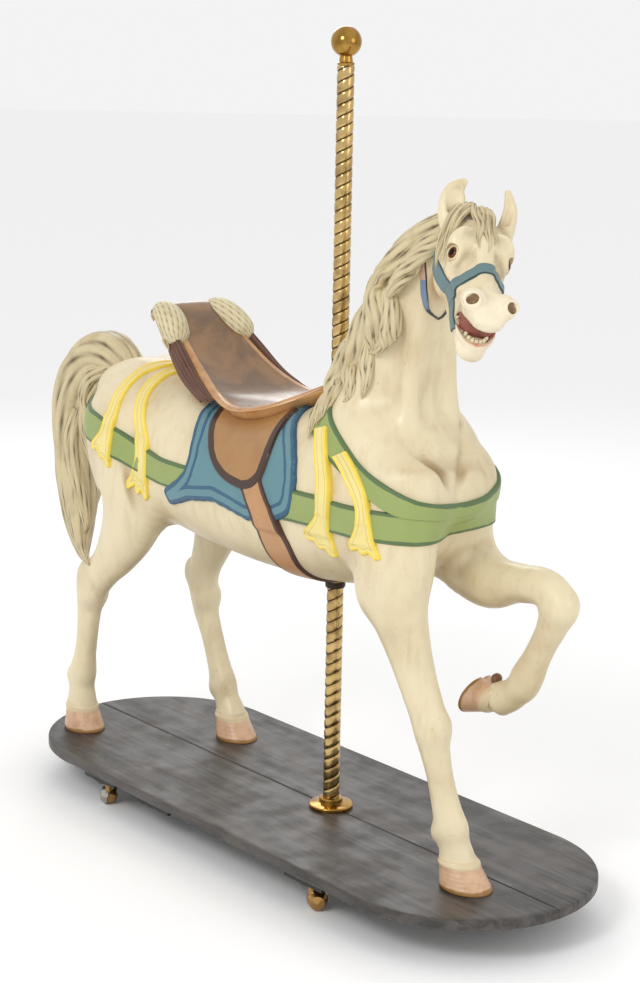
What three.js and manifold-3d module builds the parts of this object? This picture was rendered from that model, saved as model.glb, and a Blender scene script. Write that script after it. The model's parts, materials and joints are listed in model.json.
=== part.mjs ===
// Carousel horse on its rolling display stand.
// Millimetres. +X is the way the horse faces, +Y its left side, +Z up.
// The floor is z = 0. Heights in the horse's tables are measured from the deck's top.
import * as THREE from 'three';
import { mergeVertices } from 'three/addons/utils/BufferGeometryUtils.js';
import Module from 'manifold-3d';

const wasm = await Module();
wasm.setup();

// ---------- sizes ----------
const GAP = 0.35;                 // clearance between separate pieces

const DECK_LENGTH = 1829;         // 72 in
const DECK_WIDTH = 636;           // 25 in
const DECK_THICK = 25;
const CLEAT_THICK = 19;
const CLEAT_WIDTH = 138;
const CLEAT_LENGTH = 600;
const CLEATS = { rear: -467, middle: -226, front: 383 };   // x of each cleat

const CASTER_HEIGHT = 71;         // cleat to floor
const WHEEL_R = 26;
const WHEEL_TREAD = 9;            // flat tread of the wheel
const WHEEL_DOME = 24;            // seam to the dome's end
const SEAM = 1.2;                 // half the gap between wheel and hood
const CASTER_TRAIL = 14;          // wheel centre behind the swivel
const CASTER_TILT = 0.14;         // lean of the axle, radians
const CASTER_Y = 272;
const AXLE_HEIGHT = WHEEL_R * Math.cos(CASTER_TILT) - SEAM * Math.sin(CASTER_TILT);
// each caster stands at its own angle, in degrees from trailing straight back
const CASTERS = [
  { name: 'rear_near', cleat: 'rear', out: -1, turn: -40 },
  { name: 'rear_far', cleat: 'rear', out: 1, turn: 25 },
  { name: 'front_near', cleat: 'front', out: -1, turn: -130 },
  { name: 'front_far', cleat: 'front', out: 1, turn: -15 },
];
const PLATE_R = 29;
const PLATE_THICK = 3;
const BOSS_R = 10;
const BOSS_HEIGHT = 9;
const STEM_R = 5;
const AXLE_R = 3;

const DECK_TOP = CASTER_HEIGHT + CLEAT_THICK + DECK_THICK;

const POLE_X = 122;               // pole, measured from the deck's centre
const POLE_R = 20.5;
const POLE_TOP = 1811;            // above the deck
const POLE_SIDES = 24;
const BALL_R = 36;
const BALL_CENTRE = 1866;
const FLANGE_R = 55;
const COLLAR_R = 25;

// ---------- solids ----------
const v3 = (x, y, z) => new THREE.Vector3(x, y, z);

function toManifold(geometry) {
  const g = geometry.clone();
  for (const name of Object.keys(g.attributes)) if (name !== 'position') g.deleteAttribute(name);
  const m = mergeVertices(g, 1e-4);
  return new wasm.Manifold(new wasm.Mesh({
    numProp: 3,
    vertProperties: new Float32Array(m.attributes.position.array),
    triVerts: new Uint32Array(m.index.array),
  }));
}

function toGeometry(manifold) {
  const mesh = manifold.getMesh();
  const g = new THREE.BufferGeometry();
  g.setAttribute('position', new THREE.BufferAttribute(new Float32Array(mesh.vertProperties), 3));
  g.setIndex(new THREE.BufferAttribute(new Uint32Array(mesh.triVerts), 1));
  return g;
}

const union = (list) => list.reduce((a, b) => a.add(b));

// A closed skin over rings of equal point count, with a domed fan at both ends.
function skin(rings, startTip, endTip) {
  const n = rings[0].length;
  const pos = [];
  const idx = [];
  for (const ring of rings) for (const p of ring) pos.push(p.x, p.y, p.z);
  for (let i = 0; i + 1 < rings.length; i++) {
    for (let j = 0; j < n; j++) {
      const a = i * n + j, b = i * n + (j + 1) % n, c = a + n, d = b + n;
      idx.push(a, b, d, a, d, c);
    }
  }
  const first = pos.length / 3;
  pos.push(startTip.x, startTip.y, startTip.z, endTip.x, endTip.y, endTip.z);
  const last = (rings.length - 1) * n;
  for (let j = 0; j < n; j++) {
    idx.push(first, (j + 1) % n, j);
    idx.push(first + 1, last + j, last + (j + 1) % n);
  }
  const g = new THREE.BufferGeometry();
  g.setAttribute('position', new THREE.BufferAttribute(new Float32Array(pos), 3));
  g.setIndex(idx);
  const m = toManifold(g);
  return m.volume() < 0 ? toManifold(flip(g)) : m;
}

function flip(g) {
  const idx = Array.from(g.index.array);
  for (let i = 0; i < idx.length; i += 3) [idx[i + 1], idx[i + 2]] = [idx[i + 2], idx[i + 1]];
  const f = g.clone();
  f.setIndex(idx);
  return f;
}

// Catmull-Rom through rows of numbers.
function smooth(rows, t) {
  const n = rows.length - 1;
  const s = Math.min(n - 1e-9, Math.max(0, t * n));
  const i = Math.floor(s), f = s - i;
  const at = (k) => rows[Math.min(n, Math.max(0, k))];
  return rows[0].map((_, c) => {
    const a = at(i - 1)[c], b = at(i)[c], d = at(i + 1)[c], e = at(i + 2)[c];
    return 0.5 * ((2 * b) + (d - a) * f + (2 * a - 5 * b + 4 * d - e) * f * f + (3 * b - a - 3 * d + e) * f * f * f);
  });
}

// A limb: rows of [x, y, z, half width across, half depth in the plane of the bend].
// `side` is the direction that counts as across.
function limb(rows, { steps, sides = 12, dome = 0.5, side = v3(0, 1, 0) }) {
  const rings = [];
  const at = (t) => smooth(rows, t);
  let tips = [];
  for (let i = 0; i <= steps; i++) {
    const t = i / steps;
    const [x, y, z, a, b] = at(t);
    const p = v3(x, y, z);
    const q0 = at(Math.max(0, t - 0.01)), q1 = at(Math.min(1, t + 0.01));
    const dir = v3(q1[0] - q0[0], q1[1] - q0[1], q1[2] - q0[2]).normalize();
    const across = side.clone().addScaledVector(dir, -side.dot(dir)).normalize();
    const deep = dir.clone().cross(across);
    rings.push(Array.from({ length: sides }, (_, k) => {
      const w = (2 * Math.PI * (k + 0.5)) / sides;
      return p.clone().addScaledVector(across, a * Math.cos(w)).addScaledVector(deep, b * Math.sin(w));
    }));
    if (i === 0) tips[0] = p.clone().addScaledVector(dir, -dome * Math.min(a, b));
    if (i === steps) tips[1] = p.clone().addScaledVector(dir, dome * Math.min(a, b));
  }
  return skin(rings, tips[0], tips[1]);
}

// An upright prism across Y, from a closed outline of [x, z] points.
function sideOutline(points, y0, y1) {
  const shape = new THREE.Shape(points.map(([x, z]) => new THREE.Vector2(x, z)));
  const g = new THREE.ExtrudeGeometry(shape, { depth: y1 - y0, bevelEnabled: false });
  g.rotateX(Math.PI / 2);
  g.translate(0, y1, 0);
  return toManifold(g);
}

function disc(radius, z0, z1, x, y, sides = 32) {
  const g = new THREE.CylinderGeometry(radius, radius, z1 - z0, sides);
  g.rotateX(Math.PI / 2);
  g.translate(x, y, (z0 + z1) / 2);
  return toManifold(g);
}

function lathe(profile, sides) {
  const g = new THREE.LatheGeometry(profile.map(([r, h]) => new THREE.Vector2(r, h)), sides);
  g.rotateX(Math.PI / 2);        // the turning axis becomes Z
  const m = toManifold(g);
  return m.volume() < 0 ? toManifold(flip(mergedPosition(g))) : m;
}

function mergedPosition(g) {
  const c = g.clone();
  c.deleteAttribute('normal');
  c.deleteAttribute('uv');
  return mergeVertices(c, 1e-4);
}

// ---------- the horse ----------
// Barrel: [x, top, bottom, half width].
const BARREL = [
  [-800, 955, 855, 52],
  [-778, 985, 795, 88],
  [-735, 1010, 725, 122],
  [-680, 1026, 685, 152],
  [-600, 1042, 655, 182],
  [-500, 1042, 635, 200],
  [-370, 1014, 618, 206],
  [-220, 984, 600, 210],
  [-60, 978, 590, 213],
  [100, 1010, 592, 211],
  [240, 1050, 608, 202],
  [360, 1060, 640, 188],
  [450, 1040, 690, 166],
  [506, 1000, 750, 134],
  [542, 950, 810, 88],
];

function barrel(grow, steps, sides, e = 2.25) {
  const rings = [];
  for (let i = 0; i <= steps; i++) {
    const [x, top, low, half] = smooth(BARREL, i / steps);
    const mid = (top + low) / 2, b = (top - low) / 2 + grow, a = half + grow;
    rings.push(Array.from({ length: sides }, (_, k) => {
      const w = (2 * Math.PI * (k + 0.5)) / sides;
      const c = Math.cos(w), s = Math.sin(w);
      // e above 2 is fuller than an ellipse at the shoulders of the section
      const r = Math.pow(Math.abs(c) ** e + Math.abs(s) ** e, -1 / e);
      return v3(x, a * r * c, mid + b * r * s);
    }));
  }
  const f = BARREL[0], l = BARREL[BARREL.length - 1];
  return skin(rings, v3(f[0] - 14 - grow, 0, (f[1] + f[2]) / 2), v3(l[0] + 12 + grow, 0, (l[1] + l[2]) / 2));
}

const NECK = [
  [290, 0, 880, 150, 218],
  [318, 0, 1000, 136, 192],
  [336, 0, 1090, 110, 158],
  [358, -2, 1180, 94, 124],
  [384, -6, 1265, 82, 104],
  [418, -10, 1338, 76, 92],
  [468, -14, 1398, 70, 84],
  [540, -18, 1440, 60, 70],
];

const HIND_NEAR = [
  [-610, -100, 890, 92, 142],
  [-566, -120, 800, 92, 148],
  [-520, -140, 710, 82, 136],
  [-532, -155, 620, 65, 108],
  [-574, -163, 545, 52, 80],
  [-636, -161, 480, 42, 60],
  [-706, -160, 425, 38, 63],
  [-728, -159, 365, 33, 45],
  [-737, -158, 290, 32, 37],
  [-750, -158, 215, 33, 36],
  [-762, -158, 163, 39, 43],
  [-766, -158, 112, 35, 38],
  [-768, -158, 72, 41, 46],
];
const HIND_FAR = [
  [-600, 100, 890, 92, 142],
  [-556, 116, 800, 90, 150],
  [-508, 128, 700, 78, 132],
  [-526, 134, 610, 60, 96],
  [-564, 134, 520, 48, 68],
  [-596, 132, 450, 40, 52],
  [-606, 131, 395, 36, 60],
  [-588, 130, 335, 32, 44],
  [-560, 130, 270, 30, 36],
  [-527, 130, 195, 31, 35],
  [-502, 129, 136, 37, 40],
  [-484, 129, 92, 33, 36],
  [-466, 129, 58, 39, 44],
];
const FORE_NEAR = [
  [440, -105, 890, 82, 132],
  [462, -120, 780, 84, 128],
  [480, -130, 690, 76, 112],
  [502, -134, 610, 62, 76],
  [530, -126, 530, 50, 56],
  [558, -118, 450, 43, 46],
  [586, -110, 375, 42, 44],
  [604, -105, 310, 37, 39],
  [621, -99, 245, 34, 37],
  [639, -92, 175, 35, 38],
  [655, -86, 118, 40, 45],
  [663, -83, 80, 36, 40],
  [672, -81, 50, 43, 48],
];
const FORE_FAR = [
  [400, 92, 860, 72, 120],
  [418, 106, 755, 76, 118],
  [468, 119, 668, 74, 106],
  [548, 125, 648, 62, 78],
  [640, 128, 662, 50, 54],
  [712, 128, 672, 44, 50],
  [752, 128, 652, 41, 50],
  [746, 126, 600, 37, 44],
  [719, 124, 550, 34, 38],
  [693, 122, 500, 33, 37],
  [669, 120, 455, 37, 42],
  [644, 118, 410, 39, 46],
  [612, 117, 382, 36, 44],
  [582, 116, 376, 42, 52],
];

// A hoof: a cone frustum along `axis`, wider at the sole, square across it.
function hoof(top, sole, axisUp, r0, r1, across = v3(0, 1, 0)) {
  const ring = (c, ra, rb) => Array.from({ length: 14 }, (_, k) => {
    const w = (2 * Math.PI * (k + 0.5)) / 14;
    return c.clone().addScaledVector(across, ra * Math.cos(w)).addScaledVector(axisUp, rb * Math.sin(w));
  });
  return skin([ring(top, r0[0], r0[1]), ring(sole, r1[0], r1[1])], top, sole);
}

const TAIL = [
  [-766, 0, 972, 34, 42],
  [-806, -3, 1010, 42, 48],
  [-876, -7, 1016, 50, 52],
  [-946, -14, 980, 56, 58],
  [-982, -24, 908, 58, 62],
  [-976, -40, 820, 58, 62],
  [-940, -58, 728, 56, 62],
  [-898, -84, 640, 54, 60],
  [-852, -114, 574, 48, 52],
  [-790, -150, 524, 36, 40],
  [-722, -182, 496, 22, 24],
  [-660, -202, 488, 11, 12],
];

// The head in its own frame: `down` runs from the poll to the lips, `face` out of the face.
const HEAD = { at: v3(597, -18, 1493), yaw: -0.61, pitch: 0.665, roll: -0.31 };
function headAxes() {
  const { yaw, pitch, roll } = HEAD;
  const forward = v3(Math.cos(yaw), Math.sin(yaw), 0);
  const left = v3(-Math.sin(yaw), Math.cos(yaw), 0);
  const down = forward.clone().multiplyScalar(Math.cos(pitch)).addScaledVector(v3(0, 0, 1), -Math.sin(pitch));
  const face = forward.clone().multiplyScalar(Math.sin(pitch)).addScaledVector(v3(0, 0, 1), Math.cos(pitch));
  const side = left.clone().multiplyScalar(Math.cos(roll)).addScaledVector(face, Math.sin(roll));
  const out = left.clone().multiplyScalar(-Math.sin(roll)).addScaledVector(face, Math.cos(roll));
  return { side, down, out };
}
const AX = headAxes();
const inHead = (s, d, n) => HEAD.at.clone().addScaledVector(AX.side, s).addScaledVector(AX.down, d).addScaledVector(AX.out, n);

// Skull: [distance down the face, brow line, under line, half width].
const SKULL = [
  [-34, -4, -78, 40],
  [0, 18, -112, 62],
  [40, 36, -128, 74],
  [78, 38, -136, 76],
  [112, 31, -136, 72],
  [150, 24, -118, 62],
  [190, 22, -86, 55],
  [228, 28, -60, 56],
  [258, 36, -44, 62],
  [280, 38, -36, 58],
  [300, 28, -26, 44],
  [313, 14, -12, 28],
];
const LOWER_JAW = [
  [140, -84, -128, 50],
  [190, -76, -120, 46],
  [240, -70, -110, 42],
  [284, -66, -108, 42],
  [312, -64, -102, 34],
];

function headPiece(rows, steps, sides) {
  const rings = [];
  for (let i = 0; i <= steps; i++) {
    const [d, top, low, half] = smooth(rows, i / steps);
    rings.push(Array.from({ length: sides }, (_, k) => {
      const w = (2 * Math.PI * (k + 0.5)) / sides;
      return inHead(half * Math.cos(w), d, (top + low) / 2 + ((top - low) / 2) * Math.sin(w));
    }));
  }
  const f = rows[0], l = rows[rows.length - 1];
  return skin(rings, inHead(0, f[0] - 10, (f[1] + f[2]) / 2), inHead(0, l[0] + 8, (l[1] + l[2]) / 2));
}

function ear(sign) {
  const rows = [[60, 12, -6, 26, 18], [66, -14, 6, 30, 18], [62, -40, 22, 23, 14], [47, -66, 42, 6, 5]];
  const pts = rows.map(([s, d, n, a, b]) => {
    const p = inHead(sign * s, d, n);
    return [p.x, p.y, p.z, a, b];
  });
  return limb(pts, { steps: 5, sides: 8, side: AX.side.clone() });
}

// Mane: locks that start on the crest and fall down the near side of the neck.
const MANE_LOCKS = [
  [[560, -45, 1494, 20, 24], [504, -74, 1458, 22, 30], [462, -92, 1396, 22, 32], [434, -100, 1328, 20, 28], [408, -104, 1262, 12, 15]],
  [[482, -48, 1452, 20, 26], [420, -78, 1396, 24, 32], [390, -94, 1322, 24, 34], [366, -102, 1250, 20, 28], [336, -112, 1178, 12, 15]],
  [[402, -42, 1380, 20, 26], [362, -74, 1308, 24, 32], [340, -96, 1234, 24, 34], [318, -112, 1162, 20, 28], [284, -132, 1092, 12, 15]],
  [[334, -42, 1276, 20, 26], [304, -78, 1204, 24, 32], [286, -108, 1136, 24, 32], [262, -140, 1074, 20, 28], [226, -165, 1022, 12, 15]],
];
// The crest's own roll of hair, from the poll to the withers.
const CREST = [
  [592, -20, 1490, 26, 16],
  [530, -20, 1470, 36, 20],
  [470, -20, 1424, 40, 22],
  [412, -20, 1358, 42, 22],
  [356, -20, 1286, 44, 22],
  [306, -18, 1206, 46, 22],
  [256, -14, 1132, 46, 22],
  [206, -10, 1076, 40, 18],
];

// Saddle: [x, top at the middle, how far the rim stands above it, half width, thickness].
const SADDLE = [
  [-512, 1188, 0, 94, 20],
  [-489, 1202, 0, 108, 56],
  [-440, 1176, 2, 116, 104],
  [-360, 1108, 4, 126, 110],
  [-270, 1046, 6, 138, 84],
  [-180, 1004, 8, 156, 58],
  [-80, 994, 6, 170, 48],
  [10, 1012, 2, 150, 42],
  [70, 1044, -4, 92, 38],
  [104, 1060, -6, 44, 32],
];

function saddle(steps) {
  const half = 7;                 // points on the top, and as many below
  const rings = [];
  for (let i = 0; i <= steps; i++) {
    const [x, top, rim, w, thick] = smooth(SADDLE, i / steps);
    const ring = [];
    for (let k = 0; k < half; k++) {
      const u = 1 - (2 * k) / (half - 1);
      ring.push(v3(x, w * u, top + rim * u * u));
    }
    for (let k = 0; k < half; k++) {
      const u = -1 + (2 * k) / (half - 1);
      ring.push(v3(x, w * u * 0.93, top + rim * u * u - 16 - (thick - 16) * (1 - u ** 4)));
    }
    rings.push(ring);
  }
  const a = rings[0][3], b = rings[rings.length - 1][3];
  return skin(rings, v3(a.x - 6, 0, a.z - 12), v3(b.x + 8, 0, b.z - 14));
}

// Cream eagle head and dark folded wing on each rear corner of the saddle.
const eagle = (sign) => [
  limb([[-500, 104 * sign, 1178, 18, 18], [-470, 112 * sign, 1170, 27, 30], [-430, 126 * sign, 1146, 30, 34], [-392, 138 * sign, 1118, 25, 30]],
    { steps: 4, sides: 8 }),
  limb([[-400, 140 * sign, 1122, 20, 28], [-340, 158 * sign, 1078, 24, 36], [-250, 174 * sign, 1030, 21, 30], [-150, 180 * sign, 998, 10, 12]],
    { steps: 4, sides: 8 }),
];

const BLANKET = [[-205, 1010], [-262, 850], [-292, 722], [-180, 782], [-60, 800], [60, 790], [200, 758], [232, 900], [222, 1040], [140, 1052], [0, 1010]];
const FLAP_LOW = 826, FLAP_HALF = 118, FLAP_X = 25;
function flapOutline() {
  const pts = [[FLAP_X - FLAP_HALF, 1010]];
  for (let i = 0; i <= 8; i++) {
    const a = Math.PI * (1 + i / 8);
    pts.push([FLAP_X + FLAP_HALF * Math.cos(a), FLAP_LOW + 95 + 95 * Math.sin(a)]);
  }
  pts.push([FLAP_X + FLAP_HALF, 1040]);
  return pts;
}
const GIRTH = [[38, 860], [70, 740], [112, 580], [164, 570], [132, 740], [92, 860]];
// Breast collar that runs on round the rump as one level band.
const BAND = [[-960, 940], [-960, 850], [-722, 806], [-400, 770], [0, 752], [230, 762], [520, 776], [700, 780], [700, 858], [520, 850], [230, 840], [0, 834], [-400, 852], [-722, 888]];
const NECK_STRAP = [[205, 1052], [262, 1048], [330, 960], [440, 880], [560, 850], [560, 900], [450, 930], [360, 1010], [300, 1080]];

function bulge(centre, rx, ry, rz, sides = 12) {
  const g = new THREE.SphereGeometry(1, sides, Math.round(sides * 0.7));
  g.scale(rx, ry, rz);
  g.translate(centre.x, centre.y, centre.z);
  return toManifold(g);
}
const chestLobe = (sign) => bulge(v3(482, 70 * sign, 880), 84, 72, 110, 14);
const brow = (sign) => bulge(inHead(58 * sign, 74, 24), 21, 21, 19, 8);
const EYE_R = 15;
const eyeball = (sign, r) => bulge(inHead(50 * sign, 104, -8), r, r, r, 12);
const nostril = (sign) => bulge(inHead(42 * sign, 270, 26), 23, 23, 20, 8);

function horse() {
  const coat = barrel(0, 14, 20);
  const parts = [
    coat,
    limb(NECK, { steps: 9, sides: 16, side: v3(0.15, 1, 0) }),
    limb(HIND_NEAR, { steps: 14, sides: 10 }),
    limb(HIND_FAR, { steps: 14, sides: 10 }),
    limb(FORE_NEAR, { steps: 14, sides: 10 }),
    limb(FORE_FAR, { steps: 16, sides: 10 }),
    hoof(v3(-768, -158, 66), v3(-757, -158, GAP), v3(1, 0, 0), [43, 48], [54, 66]),
    hoof(v3(-464, 129, 62), v3(-440, 129, GAP), v3(1, 0, 0), [43, 48], [54, 66]),
    hoof(v3(674, -81, 56), v3(697, -80, GAP), v3(1, 0, 0), [45, 50], [56, 72]),
    hoof(v3(586, 116, 388), v3(519, 115, 384), v3(0.58, 0, 0.81), [42, 47], [52, 66]),
    limb(TAIL, { steps: 13, sides: 10 }),
    headPiece(SKULL, 12, 14),
    headPiece(LOWER_JAW, 4, 10),
    ear(1), ear(-1),
    limb(CREST, { steps: 8, sides: 8 }),
    chestLobe(1), chestLobe(-1), brow(1), brow(-1), nostril(1), nostril(-1),
    ...MANE_LOCKS.map((rows) => limb(rows, { steps: 5, sides: 6, side: v3(0.2, 1, 0) })),
    saddle(10),
    ...eagle(1), ...eagle(-1),
  ];
  const cloth = barrel(6, 14, 20, 2.7).intersect(sideOutline(BLANKET, -300, 300));
  const flap = barrel(13, 14, 20, 3).intersect(sideOutline(flapOutline(), -300, 300));
  const girth = barrel(11, 14, 20, 2.4).intersect(sideOutline(GIRTH, -300, 300));
  const band = barrel(9, 14, 20).intersect(sideOutline(BAND, -300, 300));
  const body = union([...parts, cloth, flap, girth, band]).simplify(2.4);
  // hooves stand flat on the deck, the eyes sit in sockets, and the pole runs through a bore
  return body
    .subtract(box(0, 0, GAP - 50, 4000, 4000, 100))
    .subtract(eyeball(1, EYE_R + GAP)).subtract(eyeball(-1, EYE_R + GAP))
    .subtract(disc(POLE_R + GAP, 300, 1500, POLE_X, 0, POLE_SIDES));
}

// ---------- the stand ----------
function plank(sign) {
  const r = DECK_WIDTH / 2, straight = DECK_LENGTH / 2 - r, seam = GAP / 2;
  const pts = [];
  const n = 16;
  for (let i = 0; i <= n; i++) {
    const a = (Math.PI / 2) * (i / n);
    pts.push([straight + r * Math.cos(a), Math.max(seam, r * Math.sin(a))]);
  }
  for (let i = 0; i <= n; i++) {
    const a = Math.PI / 2 + (Math.PI / 2) * (i / n);
    pts.push([-straight + r * Math.cos(a), Math.max(seam, r * Math.sin(a))]);
  }
  const shape = new THREE.Shape(pts.map(([x, y]) => new THREE.Vector2(x, sign * y)));
  const g = new THREE.ExtrudeGeometry(shape, { depth: DECK_THICK, bevelEnabled: false, curveSegments: 1 });
  g.translate(0, 0, -DECK_THICK);
  return toManifold(g);
}

function box(x, y, z, lx, ly, lz) {
  const g = new THREE.BoxGeometry(lx, ly, lz);
  g.translate(x, y, z);
  return toManifold(g);
}

const cleatTop = -DECK_THICK - GAP;
const cleatLow = cleatTop - CLEAT_THICK + GAP;
const floor = -DECK_TOP;

// From the lathe's axis to the axle of a caster, which leans by CASTER_TILT and
// trails behind the swivel; then the whole caster is turned about the swivel.
function onAxle(m, out) {
  const lean = (CASTER_TILT * 180) / Math.PI;
  return m.rotate([-90 * out, 0, 0]).rotate([out * lean, 0, 0]).translate([-CASTER_TRAIL, 0, floor + AXLE_HEIGHT]);
}

function atSwivel(m, { cleat, out, turn }) {
  return m.rotate([0, 0, turn]).translate([CLEATS[cleat], out * CASTER_Y, 0]);
}

// Quarter arc from the rim at w0 to the axis at w1.
function arc(r, w0, w1, n) {
  return Array.from({ length: n + 1 }, (_, i) => {
    const a = (Math.PI / 2) * (i / n);
    return [i === n ? 0 : r * Math.cos(a), w0 + (w1 - w0) * Math.sin(a)];
  });
}

const rod = (r, w0, w1, sides) => lathe([[0, w0], [r, w0], [r, w1], [0, w1]], sides);

function casterWheel(c) {
  const body = lathe([[0, SEAM], [WHEEL_R, SEAM], ...arc(WHEEL_R, WHEEL_TREAD, WHEEL_DOME, 2)], 16);
  return atSwivel(onAxle(body.subtract(rod(AXLE_R + GAP, 0, 14, 8)), c.out), c);
}

function casterHood(c) {
  const axle = floor + AXLE_HEIGHT;
  const dome = lathe([[0, -SEAM], ...arc(WHEEL_R - 0.6, -SEAM, -WHEEL_DOME, 2)], 16);
  const arm = limb([[0, 0, axle + 22, 8, 8], [-6, -c.out * 4, axle + 15, 8, 9], [-12, -c.out * 9, axle + 8, 7, 9]], { steps: 2, sides: 8 });
  const neck = disc(8, axle + 10, cleatLow - PLATE_THICK - BOSS_HEIGHT - 0.6, 0, 0, 12);
  const stem = disc(STEM_R, axle + 10, cleatLow - PLATE_THICK - 1, 0, 0, 12);
  const wheelRoom = rod(WHEEL_R + 1.2, -SEAM + 0.6, WHEEL_DOME + 1, 16);
  return atSwivel(
    onAxle(dome, c.out)
      .subtract(box(0, 0, floor, 200, 200, 10))
      .add(arm).add(neck).add(stem)
      .subtract(onAxle(wheelRoom, c.out))
      .add(onAxle(rod(AXLE_R, -6, 12, 8), c.out)),
    c,
  );
}

function casterPlate(c) {
  const z = cleatLow - GAP;
  return atSwivel(
    disc(PLATE_R, z - PLATE_THICK, z, 0, 0, 16)
      .add(disc(BOSS_R, z - PLATE_THICK - BOSS_HEIGHT + 1, z - 1, 0, 0, 12))
      .subtract(disc(STEM_R + GAP, z - 60, z - PLATE_THICK + 0.2, 0, 0, 12)),
    c,
  );
}

// ---------- the part ----------
const COLOURS = {
  ivory: ['#e3d7b4', 0.42, 0],
  amber: ['#5a2f12', 0.08, 0],
  brass: ['#c9a24c', 0.24, 1],
  blackMetal: ['#1d1b19', 0.5, 0.3],
  darkWood: ['#2e2621', 0.5, 0],
  blackWood: ['#191716', 0.6, 0],
  nickel: ['#b9b4a6', 0.25, 1],
};

const part = new THREE.Group();
part.name = 'carousel_horse';

function piece(name, solid, look) {
  const [color, roughness, metalness] = COLOURS[look];
  const g = toGeometry(solid.translate([-ORIGIN_X, 0, DECK_TOP]));
  const mesh = new THREE.Mesh(g, new THREE.MeshStandardMaterial({ color, roughness, metalness }));
  mesh.name = name;
  part.add(mesh);
}

const horseSolid = horse();
// the origin sits under the middle of the whole footprint
const reach = horseSolid.boundingBox();
const ORIGIN_X = (Math.min(reach.min[0], -DECK_LENGTH / 2) + Math.max(reach.max[0], DECK_LENGTH / 2)) / 2;

piece('horse', horseSolid, 'ivory');
piece('glass_eye_near', eyeball(-1, EYE_R), 'amber');
piece('glass_eye_far', eyeball(1, EYE_R), 'amber');

const collar = (profile) => lathe([...profile, profile[0]], POLE_SIDES).translate([POLE_X, 0, 0]);
piece('pole', disc(POLE_R, GAP, POLE_TOP, POLE_X, 0, POLE_SIDES), 'brass');
piece('pole_flange', collar([[POLE_R + GAP, GAP], [FLANGE_R, GAP], [FLANGE_R, 13], [FLANGE_R - 3, 16], [POLE_R + 9, 17], [POLE_R + 8, 26], [POLE_R + GAP, 26]]), 'brass');
piece('belly_collar', collar([[POLE_R + GAP, 566], [COLLAR_R, 566], [COLLAR_R, 580], [POLE_R + GAP, 580]]), 'blackMetal');
piece('finial', lathe([[0, POLE_TOP + GAP], [24, POLE_TOP + GAP], [24, POLE_TOP + 7], [17, POLE_TOP + 10], [16, POLE_TOP + 18],
  ...Array.from({ length: 8 }, (_, i) => {
    const a = -1.05 + ((Math.PI / 2 + 1.05) * i) / 7;
    return [i === 7 ? 0 : BALL_R * Math.cos(a), BALL_CENTRE + BALL_R * Math.sin(a)];
  })], 16).translate([POLE_X, 0, 0]), 'brass');

piece('deck_plank_near', plank(-1), 'darkWood');
piece('deck_plank_far', plank(1), 'darkWood');
for (const [name, x] of Object.entries(CLEATS)) {
  piece(`cleat_${name}`, box(x, 0, (cleatTop + cleatLow) / 2, CLEAT_WIDTH, CLEAT_LENGTH, cleatTop - cleatLow), 'blackWood');
}
for (const c of CASTERS) {
  piece(`caster_plate_${c.name}`, casterPlate(c), 'blackMetal');
  piece(`caster_hood_${c.name}`, casterHood(c), 'brass');
  piece(`caster_wheel_${c.name}`, casterWheel(c), 'nickel');
}

export default part;
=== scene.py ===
"""Carved and painted carousel horse on its rolling display stand.

The horse is described in millimetres: x forward from the deck's centre, y to its left,
z up from the deck's top.  Its skin is the zero level of a distance field made of swept
ellipses that melt into each other; straps and cloths are shells cast onto that skin.
"""
import json
import math
from concurrent.futures import ThreadPoolExecutor

import bpy
import numpy as np
from mathutils import Matrix, Vector

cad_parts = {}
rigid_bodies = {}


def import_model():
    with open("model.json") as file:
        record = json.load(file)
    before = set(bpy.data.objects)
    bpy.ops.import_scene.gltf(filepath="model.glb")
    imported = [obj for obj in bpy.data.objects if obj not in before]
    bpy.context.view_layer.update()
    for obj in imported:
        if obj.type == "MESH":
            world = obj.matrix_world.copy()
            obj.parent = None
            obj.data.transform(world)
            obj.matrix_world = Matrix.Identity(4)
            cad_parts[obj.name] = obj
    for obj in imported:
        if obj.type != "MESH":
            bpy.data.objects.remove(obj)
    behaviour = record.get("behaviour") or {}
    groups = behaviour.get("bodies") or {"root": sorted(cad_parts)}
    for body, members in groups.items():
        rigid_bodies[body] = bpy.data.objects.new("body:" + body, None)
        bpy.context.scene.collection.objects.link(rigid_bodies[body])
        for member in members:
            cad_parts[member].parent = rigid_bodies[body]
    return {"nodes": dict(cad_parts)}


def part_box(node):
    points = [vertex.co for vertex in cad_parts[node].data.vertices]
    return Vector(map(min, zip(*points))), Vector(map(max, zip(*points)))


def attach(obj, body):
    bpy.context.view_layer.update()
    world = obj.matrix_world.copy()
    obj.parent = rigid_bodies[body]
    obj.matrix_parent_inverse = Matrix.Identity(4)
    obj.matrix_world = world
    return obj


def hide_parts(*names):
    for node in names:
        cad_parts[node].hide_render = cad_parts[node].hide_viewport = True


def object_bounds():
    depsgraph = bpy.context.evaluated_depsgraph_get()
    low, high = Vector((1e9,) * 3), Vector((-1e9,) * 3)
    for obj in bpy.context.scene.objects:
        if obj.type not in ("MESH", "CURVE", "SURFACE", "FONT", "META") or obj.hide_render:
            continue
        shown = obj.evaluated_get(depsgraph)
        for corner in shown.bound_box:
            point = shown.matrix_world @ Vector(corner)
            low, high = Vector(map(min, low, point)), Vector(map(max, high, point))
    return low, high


for ob in list(bpy.data.objects):
    bpy.data.objects.remove(ob)
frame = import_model()
CAD_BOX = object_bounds()

MM = 0.001
POLE_FROM_CENTRE = 122.0                     # the pole stands this far ahead of the deck's centre
POLE_X = float(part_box("pole")[0][0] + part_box("pole")[1][0]) / 2
DECK_TOP = float(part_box("deck_plank_near")[1][2])
ORIGIN = np.array([POLE_X - POLE_FROM_CENTRE * MM, 0.0, DECK_TOP])
NEAR, FAR = -1, 1                            # the horse's right side, and its left; the sign of y
AXIS_X, AXIS_Z = (1, 0, 0), (0, 0, 1)


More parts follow.
